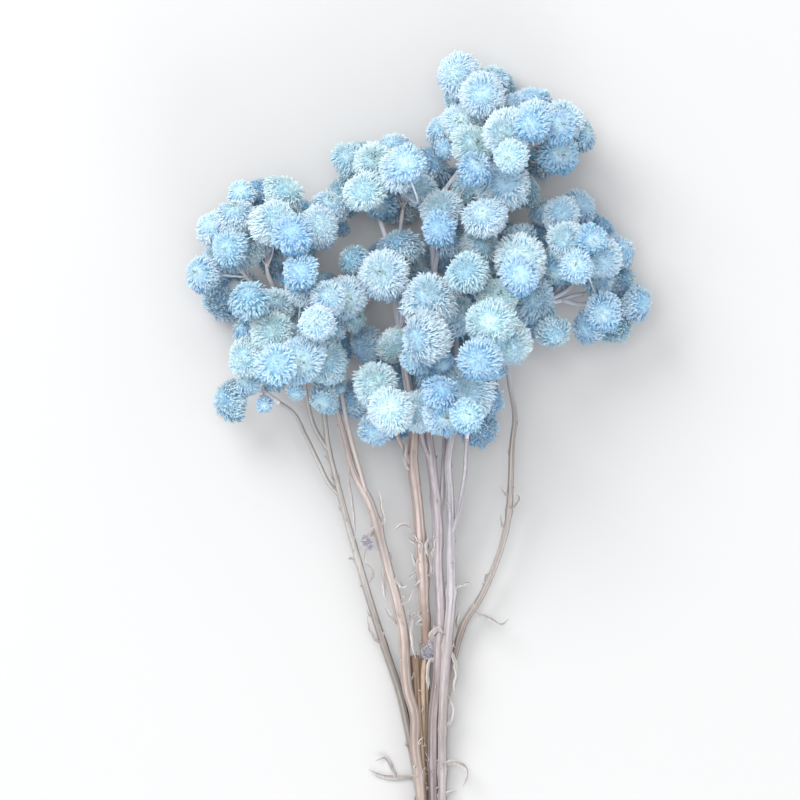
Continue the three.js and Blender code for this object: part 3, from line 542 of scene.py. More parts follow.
# %% [markdown]
# The photographed blooms are placed first, the front layer before the ones behind it, because the
# front ones show best. The far side can't be seen, so a few blooms go there by a rule: they turn
# by the golden angle from one to the next, as seeds do in a real head, which spreads them evenly.

# %% The place of every bloom
FAR_LAYER = len(LAYER_DEPTH)
FAR_BLOOMS = {
    "left_high": 3, "left_low": 4, "shoulder": 2, "crown": 4, "upper": 2, "nest": 1, "middle": 3,
    "skirt": 3, "right": 3,
}
FAR_SPREAD = 0.66
FAR_DEPTH = 1.5
FAR_DIAMETER = (22, 28)
GOLDEN_TURN = 2.399963
blooms = []


def place_bloom(spray, x, y, radius, wanted, layer):
    taken = [[*bloom["at"], bloom["radius"]] for bloom in blooms]
    obstacles = np.array([*taken, *stem_balls, *(ball for _, ball in hub_balls)])
    z = free_height(x, y, radius, wanted, obstacles)
    if z is not None:
        blooms.append({"at": np.array([x, y, z]), "radius": radius, "spray": spray, "layer": layer})


for layer in range(FAR_LAYER):
    for name, spray in SPRAYS.items():
        for bloom in spray["blooms"]:
            if bloom[3] == layer:
                x, y, wanted = wanted_place(CLUSTERS[spray["cluster"]], bloom)
                place_bloom(name, x, y, FULLNESS * bloom[2] / 2, wanted, layer)
draw = draws_from(SEED)
for name, count in FAR_BLOOMS.items():
    cluster = CLUSTERS[name]
    near_roots = {s: data["root"] for s, data in SPRAYS.items() if data["cluster"] == name}
    for i in range(count):
        angle = (i + next(draw)) * GOLDEN_TURN
        out = FAR_SPREAD * math.sqrt((i + 0.5) / count)
        x = cluster["centre"][0] + cluster["reach"][0] * out * math.cos(angle)
        y = cluster["centre"][1] + cluster["reach"][1] * out * math.sin(angle)
        radius = between(FAR_DIAMETER, next(draw)) / 2
        owner = min(near_roots, key=lambda s: math.dist(near_roots[s][:2], (x, y)))
        wanted = lying(cluster["centre"])[2] - FAR_DEPTH * dome_height(cluster, x, y)
        place_bloom(owner, x, y, radius, wanted, FAR_LAYER)
print("blooms placed:", len(blooms))

# %% [markdown]
# A thin stalk joins each bloom to its hub. It may not run through other blooms or stems, so it is
# pushed off whatever it meets, a little at a time, as a bent wire settles between others.

# %% Pushing a stalk clear
STALK_RADIUS = 0.9
STALK_CHECKS = 5
PUSH_SHARE = 0.6
PUSH_ROUNDS = 200
PUSH_REACH = 30  # balls further than this from a stalk's box never touch it


def push_clear(points, radius, balls):
    """Moves the inner points of a stalk off the balls that it would run through."""
    low, high = np.min(points, axis=0) - PUSH_REACH, np.max(points, axis=0) + PUSH_REACH
    balls = balls[np.all((balls[:, :3] > low) & (balls[:, :3] < high), axis=1)]
    need = radius + balls[:, 3] + STALK_CLEAR
    last = len(points) - 1
    for _ in range(PUSH_ROUNDS):
        moved = False
        for i in range(1, last + 1):
            for share in np.arange(STALK_CHECKS + 1) / STALK_CHECKS:
                gap = between((points[i - 1], points[i]), share) - balls[:, :3]
                away = np.linalg.norm(gap, axis=1)
                hit = (away < need) & (away > 0)
                if not hit.any():
                    continue
                push = (PUSH_SHARE * (need[hit] - away[hit]) / away[hit]) @ gap[hit]
                if i > 1:
                    points[i - 1] = points[i - 1] + (1 - share) * push
                if i < last:
                    points[i] = points[i] + share * push
                moved = True
        if not moved:
            return


wire = [np.array([0.0, 0.0, height]) for height in (0.0, 10.0, 20.0)]
push_clear(wire, STALK_RADIUS, np.array([[1.0, 0.0, 10.0, 3.0]]))
print("a ball pushes the middle of a wire aside by", round(-wire[1][0], 1), "mm")

# %% [markdown]
# Every stalk starts as a curve that leaves the bloom straight down and the hub straight on. Blooms
# of the front layers turn their faces up, and the ones on the far side turn theirs down.

# %% The stalks
STALK_TOP = 0.72  # where in the bloom it starts, as a share of the radius
STALK_DROP = 0.35  # how long it keeps straight below the bloom, as a share of its length
STALK_RISE = 0.25  # and above the hub
LONG_STALK = 36
LAYER_LIFT = (0.5, 0.3, 0.1, -0.3)  # how much each layer's blooms turn up
HUB_FORKS = (0.3, 1)  # the stretch of the hub from which stalks fork off


def bezier(controls, steps):
    """Points along a cubic curve, evenly in its own measure."""
    shares = np.arange(steps + 1)[:, None] / steps
    a, b, c, d = controls
    rest = 1 - shares
    return list(rest**3 * a + 3 * rest**2 * shares * b + 3 * rest * shares**2 * c + shares**3 * d)


draw = draws_from(SEED + 1)
stalk_balls = []
for hub in hubs:
    start, bend, end = hub["points"]
    for bloom in [one for one in blooms if one["spray"] == hub["spray"]]:
        lift = np.array([0, 0, LAYER_LIFT[bloom["layer"]]])
        bloom["axis"] = unit(unit(bloom["at"] - end) + lift)
        bloom["roll"] = 2 * math.pi * next(draw)
        fork = between((bend, end), between(HUB_FORKS, next(draw)))
        top = bloom["at"] - bloom["axis"] * (STALK_TOP * bloom["radius"])
        length = np.linalg.norm(top - fork)
        controls = (
            top,
            top - bloom["axis"] * (STALK_DROP * length),
            fork + hub["turned"] * (STALK_RISE * length),
            fork,
        )
        stalk = bezier(controls, 3 if length > LONG_STALK else 2)
        others = [[*one["at"], one["radius"]] for one in blooms if one is not bloom]
        others += [ball for ball in stem_balls if np.linalg.norm(ball[:3] - start) > ROOT_CLEARING]
        others += [ball for spray, ball in [*hub_balls, *stalk_balls] if spray != hub["spray"]]
        push_clear(stalk, STALK_RADIUS, np.array(others))
        bloom["stalk"] = stalk
        new_balls = balls_along(stalk, (STALK_RADIUS, STALK_RADIUS), STALK_BALLS)
        stalk_balls += [(hub["spray"], ball) for ball in new_balls]
print("stalks:", len(blooms), "balls along them:", len(stalk_balls))

# %% [markdown]
# Every piece below is thousands of small closed shapes in one mesh. Adding them one by one with
# bmesh would take minutes, so their corners and triangles are gathered as arrays and handed to
# Blender once. Each corner also carries a few marks, such as how far out along its bract it lies.
# The materials read the marks as attributes, which takes less room than an image would.

# %% A heap of corners and triangles
MARKS = ("along", "tint", "eye", "ring")


class Heap:
    """Corners in millimetres, triangles, the finish of each and the marks on the corners."""

    def __init__(self):
        self.corners, self.triangles, self.finishes = [], [], []
        self.marks = {mark: [] for mark in MARKS}
        self.count = 0

    def add(self, corners, triangles, finish=0, **marks):
        self.corners.append(corners)
        self.triangles.append(np.asarray(triangles) + self.count)
        self.finishes.append(np.full(len(triangles), finish))
        for mark in MARKS:
            self.marks[mark].append(np.broadcast_to(marks.get(mark, 0.0), len(corners)))
        self.count += len(corners)

    def as_object(self, name, finishes, smooth=(0,)):
        """One mesh object, smooth shaded where its finish is in smooth."""
        corners = np.concatenate(self.corners)
        corners[:, 2] = np.maximum(corners[:, 2], 0)
        triangles = np.concatenate(self.triangles)
        numbers = np.concatenate(self.finishes)
        mesh = bpy.data.meshes.new(name)
        mesh.vertices.add(len(corners))
        mesh.vertices.foreach_set("co", (corners * MM).ravel())
        mesh.loops.add(3 * len(triangles))
        mesh.loops.foreach_set("vertex_index", triangles.ravel().astype(np.int32))
        mesh.polygons.add(len(triangles))
        mesh.polygons.foreach_set("loop_start", np.arange(0, 3 * len(triangles), 3, dtype=np.int32))
        mesh.polygons.foreach_set("material_index", numbers.astype(np.int32))
        mesh.polygons.foreach_set("use_smooth", np.isin(numbers, smooth))
        for mark, values in self.marks.items():
            attribute = mesh.attributes.new(mark, "FLOAT", "POINT")
            attribute.data.foreach_set("value", np.concatenate(values).astype(np.float32))
        mesh.update(calc_edges=True)
        made = bpy.data.objects.new(name, mesh)
        bpy.context.scene.collection.objects.link(made)
        for finish in finishes:
            mesh.materials.append(finish)
        return made


print("marks on each corner:", ", ".join(MARKS))

# %% [markdown]
# Stems, branches, stalks and leaves all follow a path. The points of the tables are far apart, so a
# smooth curve through them takes the corners off. A Blender curve object would do that too, but
# then no rib, knot or mark could be set along it by a number.

# %% Smooth paths
STEEP = 0.9  # a direction this close to an axis needs another one to turn from


def smooth_path(points, spacing):
    """Points about spacing apart on a smooth curve through the given ones."""
    points = np.array(points, float)
    lengths = np.linalg.norm(np.diff(points, axis=0), axis=1)
    slopes = np.diff(points, axis=0) / lengths[:, None]
    before, after = lengths[:-1, None], lengths[1:, None]
    inner = (after * slopes[:-1] + before * slopes[1:]) / (before + after)
    tangents = np.concatenate([slopes[:1], inner, slopes[-1:]])
    out = [points[:1]]
    for i, length in enumerate(lengths):
        steps = max(1, round(length / spacing))
        t = (np.arange(1, steps + 1) / steps)[:, None]
        start = (2 * t**3 - 3 * t**2 + 1) * points[i] + (t**3 - 2 * t**2 + t) * length * tangents[i]
        end = (3 * t**2 - 2 * t**3) * points[i + 1] + (t**3 - t**2) * length * tangents[i + 1]
        out.append(start + end)
    return np.concatenate(out)


def distances_along(points):
    """How far along the path each point lies."""
    return np.concatenate([[0], np.cumsum(np.linalg.norm(np.diff(points, axis=0), axis=1))])


def shares_along(points):
    """The same as a share of the whole path, from 0 to 1."""
    return distances_along(points) / distances_along(points)[-1]


corner = smooth_path([(0, 0, 0), (10, 0, 0), (10, 10, 0)], 1)
print("a rounded corner has", len(corner), "points")

# %% [markdown]
# Rings of corners set across a path make a tube round it. The rings turn as little as they can from
# one to the next, so the ribs of a stem don't wind round it, and the two ends are closed.

# %% Tubes
def frames_along(points):
    """Unit directions ahead, across and over at each point of a path."""
    steps = np.diff(points, axis=0)
    steps /= np.linalg.norm(steps, axis=1)[:, None]
    ahead = np.concatenate([steps[:1], steps[:-1] + steps[1:], steps[-1:]])
    ahead /= np.linalg.norm(ahead, axis=1)[:, None]
    across = np.empty_like(ahead)
    side = np.cross(ahead[0], (0, 0, 1) if abs(ahead[0][2]) < STEEP else (1, 0, 0))
    for i, direction in enumerate(ahead):
        side = unit(side - side.dot(direction) * direction)
        across[i] = side
    return ahead, across, np.cross(ahead, across)


def skin(rings, sides):
    """The triangles between rings of corners, and across both ends."""
    i, j = np.meshgrid(np.arange(rings - 1), np.arange(sides), indexing="ij")
    a, b = i * sides + j, i * sides + (j + 1) % sides
    c, d = a + sides, b + sides
    wall = np.stack([a, b, d, a, d, c], axis=-1).reshape(-1, 3)
    fan = np.arange(1, sides - 1)
    foot = np.stack([np.zeros_like(fan), fan + 1, fan], axis=1)
    top = np.stack([np.zeros_like(fan), fan, fan + 1], axis=1) + (rings - 1) * sides
    return np.concatenate([wall, foot, top])


def tube(points, radii, sides):
    """A closed tube: radii has one value for each point, or one for each corner of each ring."""
    _, across, over = frames_along(points)
    turn = 2 * np.pi * np.arange(sides) / sides
    radii = np.broadcast_to(np.reshape(radii, (len(points), -1)), (len(points), sides))[..., None]
    rims = across[:, None] * np.cos(turn)[:, None] + over[:, None] * np.sin(turn)[:, None]
    return (points[:, None] + radii * rims).reshape(-1, 3), skin(len(points), sides)


print("a tube round that corner has", len(tube(corner, np.ones(len(corner)), 6)[1]), "triangles")

# %% [markdown]
# A finish is a material whose colour is made in steps, and Blender calls each step a node. The same
# few steps come back in every finish here, so each gets a small function. A finish painted on an
# image would need the whole bunch unwrapped first, and could not be changed by its numbers.

# %% Colours and the steps of a finish
def colour(red, green, blue):
    """A screen colour from 0 to 255 as the linear colour that shaders expect, by the sRGB rule."""
    def linear(value):
        value /= 255
        return value / 12.92 if value <= 0.04045 else ((value + 0.055) / 1.055) ** 2.4

    return (linear(red), linear(green), linear(blue), 1.0)


def new_finish(name, roughness):
    """A new material, its tree of nodes and the inputs of its shader."""
    material = bpy.data.materials.new(name)
    material.use_nodes = True
    inputs = material.node_tree.nodes["Principled BSDF"].inputs
    inputs["Roughness"].default_value = roughness
    return material, material.node_tree, inputs


def give(tree, socket, value):
    """Sets a socket to a plain value, or links it to what another step gives out."""
    if isinstance(value, bpy.types.NodeSocket):
        tree.links.new(value, socket)
    else:
        socket.default_value = value


def step(tree, kind, **inputs):
    """A new node of that kind with the named inputs given."""
    node = tree.nodes.new("ShaderNode" + kind)
    for name, value in inputs.items():
        give(tree, node.inputs[name], value)
    return node


print("a screen grey of 128 is", round(colour(128, 128, 128)[0], 3), "in linear light")

# %% [markdown]
# A mark becomes a colour through a ramp, and two colours are laid over each other by a share, which
# may be another mark. A noise gives the small patches that no dyed plant is without.

# %% Marks, ramps and blends
BUMP_DEPTH = 0.0003


def mark_of(tree, mark):
    """The value that the corners carry under that name."""
    node = step(tree, "Attribute")
    node.attribute_name = mark
    return node.outputs["Fac"]


def ramp(tree, value, stops):
    """A colour that runs through the stops as the value goes from 0 to 1."""
    node = step(tree, "ValToRGB", Fac=value)
    elements = node.color_ramp.elements
    while len(elements) < len(stops):
        elements.new(0.5)
    for element, (place, shade) in zip(elements, stops):
        element.position = place
        element.color = shade
    return node.outputs["Color"]


def blended(tree, share, first, second, how="MIX"):
    """Two colours blended by a share."""
    node = step(tree, "Mix")
    node.data_type = "RGBA"
    node.blend_type = how
    sockets = {socket.identifier: socket for socket in node.inputs}
    for key, value in (("Factor_Float", share), ("A_Color", first), ("B_Color", second)):
        give(tree, sockets[key], value)
    return next(socket for socket in node.outputs if socket.identifier == "Result_Color")


def scaled(tree, value, factor, offset=0.0):
    """value times factor plus offset, kept from 0 to 1."""
    node = step(tree, "Math")
    node.operation = "MULTIPLY_ADD"
    node.use_clamp = True
    for socket, part in zip(node.inputs, (value, factor, offset)):
        give(tree, socket, part)
    return node.outputs[0]


def noise(tree, scale, detail=3.0, stretch=(1, 1, 1)):
    """A noise fixed to the object, its grain about 1 / scale metres, drawn out by stretch."""
    place = step(tree, "TexCoord").outputs["Object"]
    drawn = step(tree, "Mapping", Scale=stretch, Vector=place).outputs["Vector"]
    return step(tree, "TexNoise", Scale=scale, Detail=detail, Vector=drawn).outputs["Fac"]


def mottled(tree, shade, grain, strength, start, patch):
    """A colour with patches of another one where the grain is over start."""
    return blended(tree, scaled(tree, grain, strength, -strength * start), shade, patch)


def bump(tree, grain, strength):
    """The normals of a surface that the grain roughens a little."""
    node = step(tree, "Bump", Strength=strength, Distance=BUMP_DEPTH, Height=grain)
    return node.outputs["Normal"]


print("bumps are", BUMP_DEPTH / MM, "mm deep")

# %% [markdown]
# Each bract is a deeper blue at its base, deep between the others, than at its tip. Shade is painted
# on the heads too: a deeper blue is multiplied in on the side of each head that faces down and on the
# heads further back. The tips dried almost white, and many blooms kept a greenish cream round a small
# dark eye. One ramp runs along each bract from base to tip, and the mark named ring says how much
# painted shade deepens the blue. Bracts are thin, so a little light also goes through them.

# %% The dye and the painted shade of the bracts
BRACT_RAMP = (
    (0.0, (106, 182, 222)),
    (0.35, (172, 212, 233)),
    (0.7, (208, 222, 231)),
    (1.0, (223, 228, 233)),
)
TINT_RAMP = ((0.0, (236, 242, 248)), (0.5, (250, 251, 250)), (1.0, (240, 249, 238)))
# painted shade: the deeper blue that the mark named ring multiplies into the bracts and cores
PAINTED_SHADE_BLUE = colour(76, 160, 208)
EYE_CREAM = colour(208, 222, 211)
EYE_CREAM_SHARE = 0.6
EYE_DARK = colour(50, 92, 100)
EYE_DARK_SCALE = (8.0, -7.0)  # only marks close to 1 come out above 0
BRACT_PATCH = colour(176, 214, 234)
BRACT_GRAIN = 700.0
BRACT_MOTTLE = (0.5, 0.2)  # how strong the patches are, and from which grain on
BRACT_SURFACE = {
    "Subsurface Weight": 0.3,
    "Subsurface Radius": (0.5, 0.8, 1.0),
    "Subsurface Scale": 0.002,
    "Sheen Weight": 0.2,
    "Sheen Roughness": 0.5,
}


def screen_stops(stops):
    """The stops of a ramp, their screen colours as linear ones."""
    return [(place, colour(*shade)) for place, shade in stops]


def bract_finish():
    material, tree, inputs = new_finish("dyed_bracts", roughness=0.8)
    dye_and_shade = ramp(tree, mark_of(tree, "along"), screen_stops(BRACT_RAMP))
    tint = ramp(tree, mark_of(tree, "tint"), screen_stops(TINT_RAMP))
    dye_and_shade = blended(tree, 1.0, dye_and_shade, tint, "MULTIPLY")
    # painted shade, as deep as the mark named ring says
    dye_and_shade = blended(tree, mark_of(tree, "ring"), dye_and_shade, PAINTED_SHADE_BLUE, "MULTIPLY")
    eye = mark_of(tree, "eye")
    dye_and_shade = blended(tree, scaled(tree, eye, EYE_CREAM_SHARE), dye_and_shade, EYE_CREAM)
    dye_and_shade = blended(tree, scaled(tree, eye, *EYE_DARK_SCALE), dye_and_shade, EYE_DARK)
    dye_and_shade = mottled(tree, dye_and_shade, noise(tree, BRACT_GRAIN), *BRACT_MOTTLE, BRACT_PATCH)
    give(tree, inputs["Base Color"], dye_and_shade)
    for name, value in BRACT_SURFACE.items():
        give(tree, inputs[name], value)
    return material


dyed_bracts = bract_finish()
print("finish:", dyed_bracts.name)

# %% [markdown]
# The stalks took up less dye and dried a pale lilac grey, a little bluer close to the blooms. The
# stems are grey-beige with long pale and dark streaks, brown near the foot, and each has a tone of
# its own. The streaks come from the mark named ring, a grain that follows each stem round its
# bends, and a noise drawn out along the bunch breaks them up. Leaves and buds are greyer.

# %% Stalks, stems, leaves and buds
STREAK = (1.0, 0.06, 1.0)  # the noise is drawn out along Y
STALK_RAMP = ((0.0, (222, 217, 221)), (0.6, (222, 226, 234)), (1.0, (190, 216, 232)))
STALK_PATCH = colour(176, 168, 170)
STALK_GRAIN = 500.0
STALK_MOTTLE = (0.9, 1 / 3)
STEM_GRAIN = 900.0
STEM_DETAIL = 4.0
STEM_MOTTLE = (1.5, 0.4)
STREAK_STOPS = (0.2, 0.9)  # the marks at which a stem is all pale and all streak
RUN_DOWN = colour(214, 219, 232)  # the dye that ran down the stems
RUN_DOWN_SHARE = 0.7
FOOT_PALE = (230, 222, 216)
FOOT_BROWN = (204, 186, 164)
STEM_TONES = {  # pale, streak, and what the foot is multiplied by
    "stem_left": ((176, 172, 168), (122, 119, 117), FOOT_PALE),
    "stem_centre_left": ((191, 180, 175), (135, 124, 121), FOOT_PALE),
    "stem_centre": ((193, 178, 173), (127, 113, 109), FOOT_BROWN),
    "stem_centre_right": ((181, 173, 176), (112, 105, 111), FOOT_PALE),
    "stem_right_inner": ((195, 191, 194), (125, 122, 130), FOOT_PALE),
    "stem_right_outer": ((176, 169, 165), (118, 112, 108), FOOT_PALE),
    "cut_stub": ((183, 163, 142), (85, 65, 52), FOOT_PALE),
}
LEAF_TONES = ((192, 187, 184), (104, 98, 96), FOOT_PALE)
BUD_TONES = ((196, 194, 202), (108, 106, 116), FOOT_PALE)


def stalk_finish():
    material, tree, inputs = new_finish("pale_stalks", roughness=0.7)
    shade = ramp(tree, mark_of(tree, "along"), screen_stops(STALK_RAMP))
    grain = noise(tree, STALK_GRAIN)
    give(tree, inputs["Base Color"], mottled(tree, shade, grain, *STALK_MOTTLE, STALK_PATCH))
    give(tree, inputs["Normal"], bump(tree, grain, strength=0.4))
    return material


def stem_finish(name, tones):
    pale, streak, foot = (colour(*tone) for tone in tones)
    material, tree, inputs = new_finish(name, roughness=0.75)
    shade = ramp(tree, mark_of(tree, "ring"), list(zip(STREAK_STOPS, (pale, streak))))
    grain = noise(tree, STEM_GRAIN, STEM_DETAIL, STREAK)
    shade = mottled(tree, shade, grain, *STEM_MOTTLE, streak)
    shade = blended(tree, mark_of(tree, "tint"), shade, foot, "MULTIPLY")
    dyed = blended(tree, RUN_DOWN_SHARE, shade, RUN_DOWN)
    give(tree, inputs["Base Color"], blended(tree, mark_of(tree, "along"), shade, dyed))
    give(tree, inputs["Normal"], bump(tree, grain, strength=0.3))
    return material


pale_stalks = stalk_finish()
barks = {stem: stem_finish("bark_of_" + stem, tones) for stem, tones in STEM_TONES.items()}
dry_leaf = stem_finish("dry_leaf", LEAF_TONES)
dried_bud = stem_finish("dried_bud", BUD_TONES)
print("finishes:", pale_stalks.name, dry_leaf.name, dried_bud.name, "and", len(barks), "barks")

# %% [markdown]
# A bloom is a ball of narrow dry bracts round a small solid core. Each bract has its own way out of
# the head, told by two angles: how far it is from the eye, and how far round the eye.

# %% Ways out of a head
def eased(value):
    """0 below 0, 1 above 1, and smooth in between."""
    value = np.clip(value, 0, 1)
    return value * value * (3 - 2 * value)


def unit_rows(vectors):
    return vectors / np.linalg.norm(vectors, axis=-1, keepdims=True)


def directions(polar, turn):
    """For angles from the eye and round it: the ways out, away from the eye and round it."""
    sine, cosine = np.sin(polar), np.cos(polar)
    out = np.stack([sine * np.cos(turn), sine * np.sin(turn), cosine], axis=1)
    down = np.stack([cosine * np.cos(turn), cosine * np.sin(turn), -sine], axis=1)
    return out, down, np.stack([-np.sin(turn), np.cos(turn), np.zeros(len(turn))], axis=1)


print("halfway on, an eased value is", eased(0.5))

# %% [markdown]
# The bracts near the eye stand up and lean in over it, and the ones further out lean back, so that
# from the front they read as a rosette. Each is a closed sliver of four triangles: a foot, two
# corners where it is widest, and a tip. Modelling one bloom and copying it would be quicker, but a
# hundred and sixty copies side by side look like copies, so each gets bracts of its own.

# %% One bract, many times
BRACTS_PER_AREA = 9.6  # bracts on a head over the square of its radius in millimetres
LEAST_BRACTS = 240
MOST_BRACTS = 2600
POLAR_STRAY = 0.03  # off the even spread from the eye, in radians
TURN_STRAY = 0.1  # and round it
BRACT_WIDTH = 0.92
WIDTHS = (0.75, 1.2)  # the thinnest and the widest, as shares of it
BRACT_THICKNESS = 0.12
BRACT_ROOT = 0.74  # where a bract starts, as a share of the head's radius
BRACT_REACH = (0.95, 1.1)
LONG_BRACTS = 0.12  # the share of bracts that stand out of the rest
LONG_REACH = 1.09
LUMPS = 0.08  # how far a head is off the round
LUMP_WAVES = 4
LUMP_TURNS = 2.8  # the larger, the smaller the lumps
BRACT_LEAN = (0.08, 0.4)  # how far its tip turns away from the eye, in radians
EYE_LEAN = -0.5  # near the eye it turns in instead, by this share of the lean
LEAN_FULL = 0.9  # the angle from the eye where it leans as much as any
BRACT_STRAY = (0.22, 0.13)  # and to either side, at the eye and away from it
BRACT_ROLL = 0.3
BRACT_BELLY = 0.93  # how far out it is widest, as a share of its reach
WIDEST = 0.6  # and as a share of its length
FLATTEN = 0.86  # a head's height along its axis over its width
HEAD_WIDTHS = (0.93, 1.06)
HEAD_HEIGHTS = (0.88, 1.08)
CUP_EDGE = -0.86  # the cosine of the angle from the axis where the bracts end
FRONT_ANGLE = 0.6  # bracts this close to the eye are a little shorter and bluer
EYE_REACH = 0.9
EYE_ALONG = 0.7
EYE_ANGLE = 0.14  # the dark middle
CREAM_ANGLE = 0.9  # where the cream round the eye is gone
TINT_STRAY = 0.15
BRACT_SKIN = np.array([[0, 1, 2], [0, 3, 1], [0, 2, 3], [1, 3, 2]])
BRACT_ALONG = np.array([0.0, WIDEST, WIDEST, 1.0])


def bracts_of(radius, share, tint, green, chance):
    """Every bract of a head with its middle at the origin and its eye up: corners and marks."""
    count = int(share * np.clip(BRACTS_PER_AREA * radius**2, LEAST_BRACTS, MOST_BRACTS))
    number = np.arange(count) + 0.5
    polar = np.arccos(1 - (1 - CUP_EDGE) * number / count) + chance.normal(0, POLAR_STRAY, count)
    turn = GOLDEN_TURN * number + chance.normal(0, TURN_STRAY, count)
    out, down, side = directions(polar, turn)
    from_eye = eased(polar / FRONT_ANGLE)
    waves = out @ chance.normal(0, LUMP_TURNS, (3, LUMP_WAVES)) + chance.uniform(0, 6, LUMP_WAVES)
    lumpy = 1 + LUMPS * np.sin(waves).sum(axis=1) / 2
    reach = radius * chance.uniform(*BRACT_REACH, count) * between((EYE_REACH, 1.0), from_eye) * lumpy
    reach[chance.random(count) < LONG_BRACTS] *= LONG_REACH
    width = BRACT_WIDTH * chance.uniform(*WIDTHS, count) / math.sqrt(share)
    lean = chance.uniform(*BRACT_LEAN, count) * between((EYE_LEAN, 1.0), eased(polar / LEAN_FULL))
    stray = (chance.normal(0, 1, count) * between(BRACT_STRAY, from_eye))[:, None] * side
    foot = out * (BRACT_ROOT * radius)
    belly = unit_rows(out + np.tan(WIDEST * lean)[:, None] * down + WIDEST * stray)
    tip = unit_rows(out + np.tan(lean)[:, None] * down + stray)
    middle = belly * (BRACT_BELLY * reach)[:, None]
    tip = tip * reach[:, None]
    tangent = unit_rows(tip - foot)
    roll = chance.normal(0, BRACT_ROLL, count)[:, None]
    across = side * np.cos(roll) + np.cross(tangent, side) * np.sin(roll)
    wide = unit_rows(across - tangent * np.sum(across * tangent, axis=1, keepdims=True))
    raised = middle + np.cross(wide, tangent) * BRACT_THICKNESS
    half = wide * width[:, None] / 2
    corners = np.stack([foot, raised + half, raised - half, tip], axis=1)
    eye = green * (1 - eased(polar / CREAM_ANGLE))
    eye[polar < EYE_ANGLE] = green
    tints = np.clip(tint + chance.normal(0, TINT_STRAY, count), 0, 1)
    marks = {
        "along": np.outer(between((EYE_ALONG, 1.0), from_eye), BRACT_ALONG).ravel(),
        "tint": np.repeat(tints, len(BRACT_ALONG)),
        "eye": np.repeat(eye, len(BRACT_ALONG)),
    }
    squash = (*chance.uniform(*HEAD_WIDTHS, 2), FLATTEN * chance.uniform(*HEAD_HEIGHTS))
    return corners.reshape(-1, 3) * squash, marks


def bract_triangles(corners):
    """The triangles of the bracts that have these corners."""
    first = np.arange(0, len(corners), len(BRACT_ALONG))
    return (BRACT_SKIN[None] + first[:, None, None]).reshape(-1, 3)


trial, _ = bracts_of(13.0, 1.0, 0.5, 0.5, np.random.default_rng(1))
print("a head of 13 mm radius has", len(bract_triangles(trial)), "triangles of bracts")

# %% [markdown]
# Under the bracts sit the core, which closes the view between them, and the cup, where the stalk
# swells into the head. Both are plain, because they show only as depth.

# %% Core and cup
CORE_SHARE = 0.8
CUP_PROFILE = ((-0.80, 0.07), (-0.70, 0.16), (-0.58, 0.34), (-0.44, 0.50), (-0.2, 0.4))
CUP_SIDES = 12


def round_core():
    """The corners and triangles of a ball of radius 1."""
    ball = bmesh.new()
    bmesh.ops.create_icosphere(ball, subdivisions=2, radius=1.0)
    corners = np.array([vertex.co for vertex in ball.verts])
    triangles = np.array([[vertex.index for vertex in face.verts] for face in ball.faces])
    ball.free()
    return corners, triangles


def cup_of(radius):
    """The cup under a head, a turned shape round its axis."""
    turn = 2 * np.pi * np.arange(CUP_SIDES) / CUP_SIDES
    rings = [
        np.stack([r * np.cos(turn), r * np.sin(turn), np.full(CUP_SIDES, z)], axis=1)
        for z, r in CUP_PROFILE
    ]
    return radius * np.concatenate(rings), skin(len(CUP_PROFILE), CUP_SIDES)


BALL = round_core()
print("core corners:", len(BALL[0]), "cup corners:", len(cup_of(1.0)[0]))

# %% [markdown]
# A head is grown round its own axis and then moved to its place. Bracts that would end deep inside
# a neighbour can't be seen, so they are left off, and a head gets fewer and wider bracts the deeper
# it lies. Shade is painted on those heads too, as a deeper blue, and on the side of each that faces
# the floor and the stems, which gives the clusters their blue shade even in soft light.

# %% Where a head sits and where shade is painted on it
BURIED = 0.85  # bracts that end this deep in another head are left off, as a share of its radius
PAINTED_SIDE_SHADE = 0.75  # how much deeper a blue is painted as shade on the side that faces down and towards the stems
# where the painted shade starts, and how fast it grows towards the stems and towards the floor
SHADE_FROM = 0.15
SHADE_TO_STEMS = 0.5
SHADE_TO_FLOOR = 0.6


def placed(bloom, corners):
    """Corners round a head's own axis, moved to where the head stands."""
    axis = bloom["axis"]
    across = unit(np.cross(axis, (0, 1, 0) if abs(axis[2]) > STEEP else (0, 0, 1)))
    over = np.cross(axis, across)
    cosine, sine = math.cos(bloom["roll"]), math.sin(bloom["roll"])
    turned = np.stack([across * cosine + over * sine, over * cosine - across * sine, axis])
    return corners @ turned + bloom["at"]


def in_the_open(bloom, corners):
    """For every corner, whether the bract that it belongs to ends outside all other heads."""
    tips = corners[len(BRACT_ALONG) - 1::len(BRACT_ALONG)]
    free = np.ones(len(tips), bool)
    for other in blooms:
        if other is not bloom:
            free &= np.linalg.norm(tips - other["at"], axis=1) > BURIED * other["radius"]
    return np.repeat(free, len(BRACT_ALONG))


def painted_shade_depth(bloom, corners, shade):
    """How much painted shade deepens the blue at each corner, from 0 to 1."""
    away = (bloom["at"] - corners) / bloom["radius"]
    side_in_shade = eased(SHADE_FROM + SHADE_TO_STEMS * away[:, 1] + SHADE_TO_FLOOR * away[:, 2])
    return np.clip(shade + PAINTED_SIDE_SHADE * side_in_shade, 0, 1)


kept_shares = [in_the_open(bloom, placed(bloom, trial)).mean() for bloom in blooms]
least, most = round(100 * min(kept_shares)), round(100 * max(kept_shares))
print("of those bracts a head would keep from", least, "to", most, "%")

# %% [markdown]
# The face of a head is tilted a little off the line of its stalk, as heads dry. Its cup is not, or
# the stalk would leave it at a bend. A stalk is thinnest at its middle, and a hub starts a little
# way back inside its branch, so no gap shows between the two.

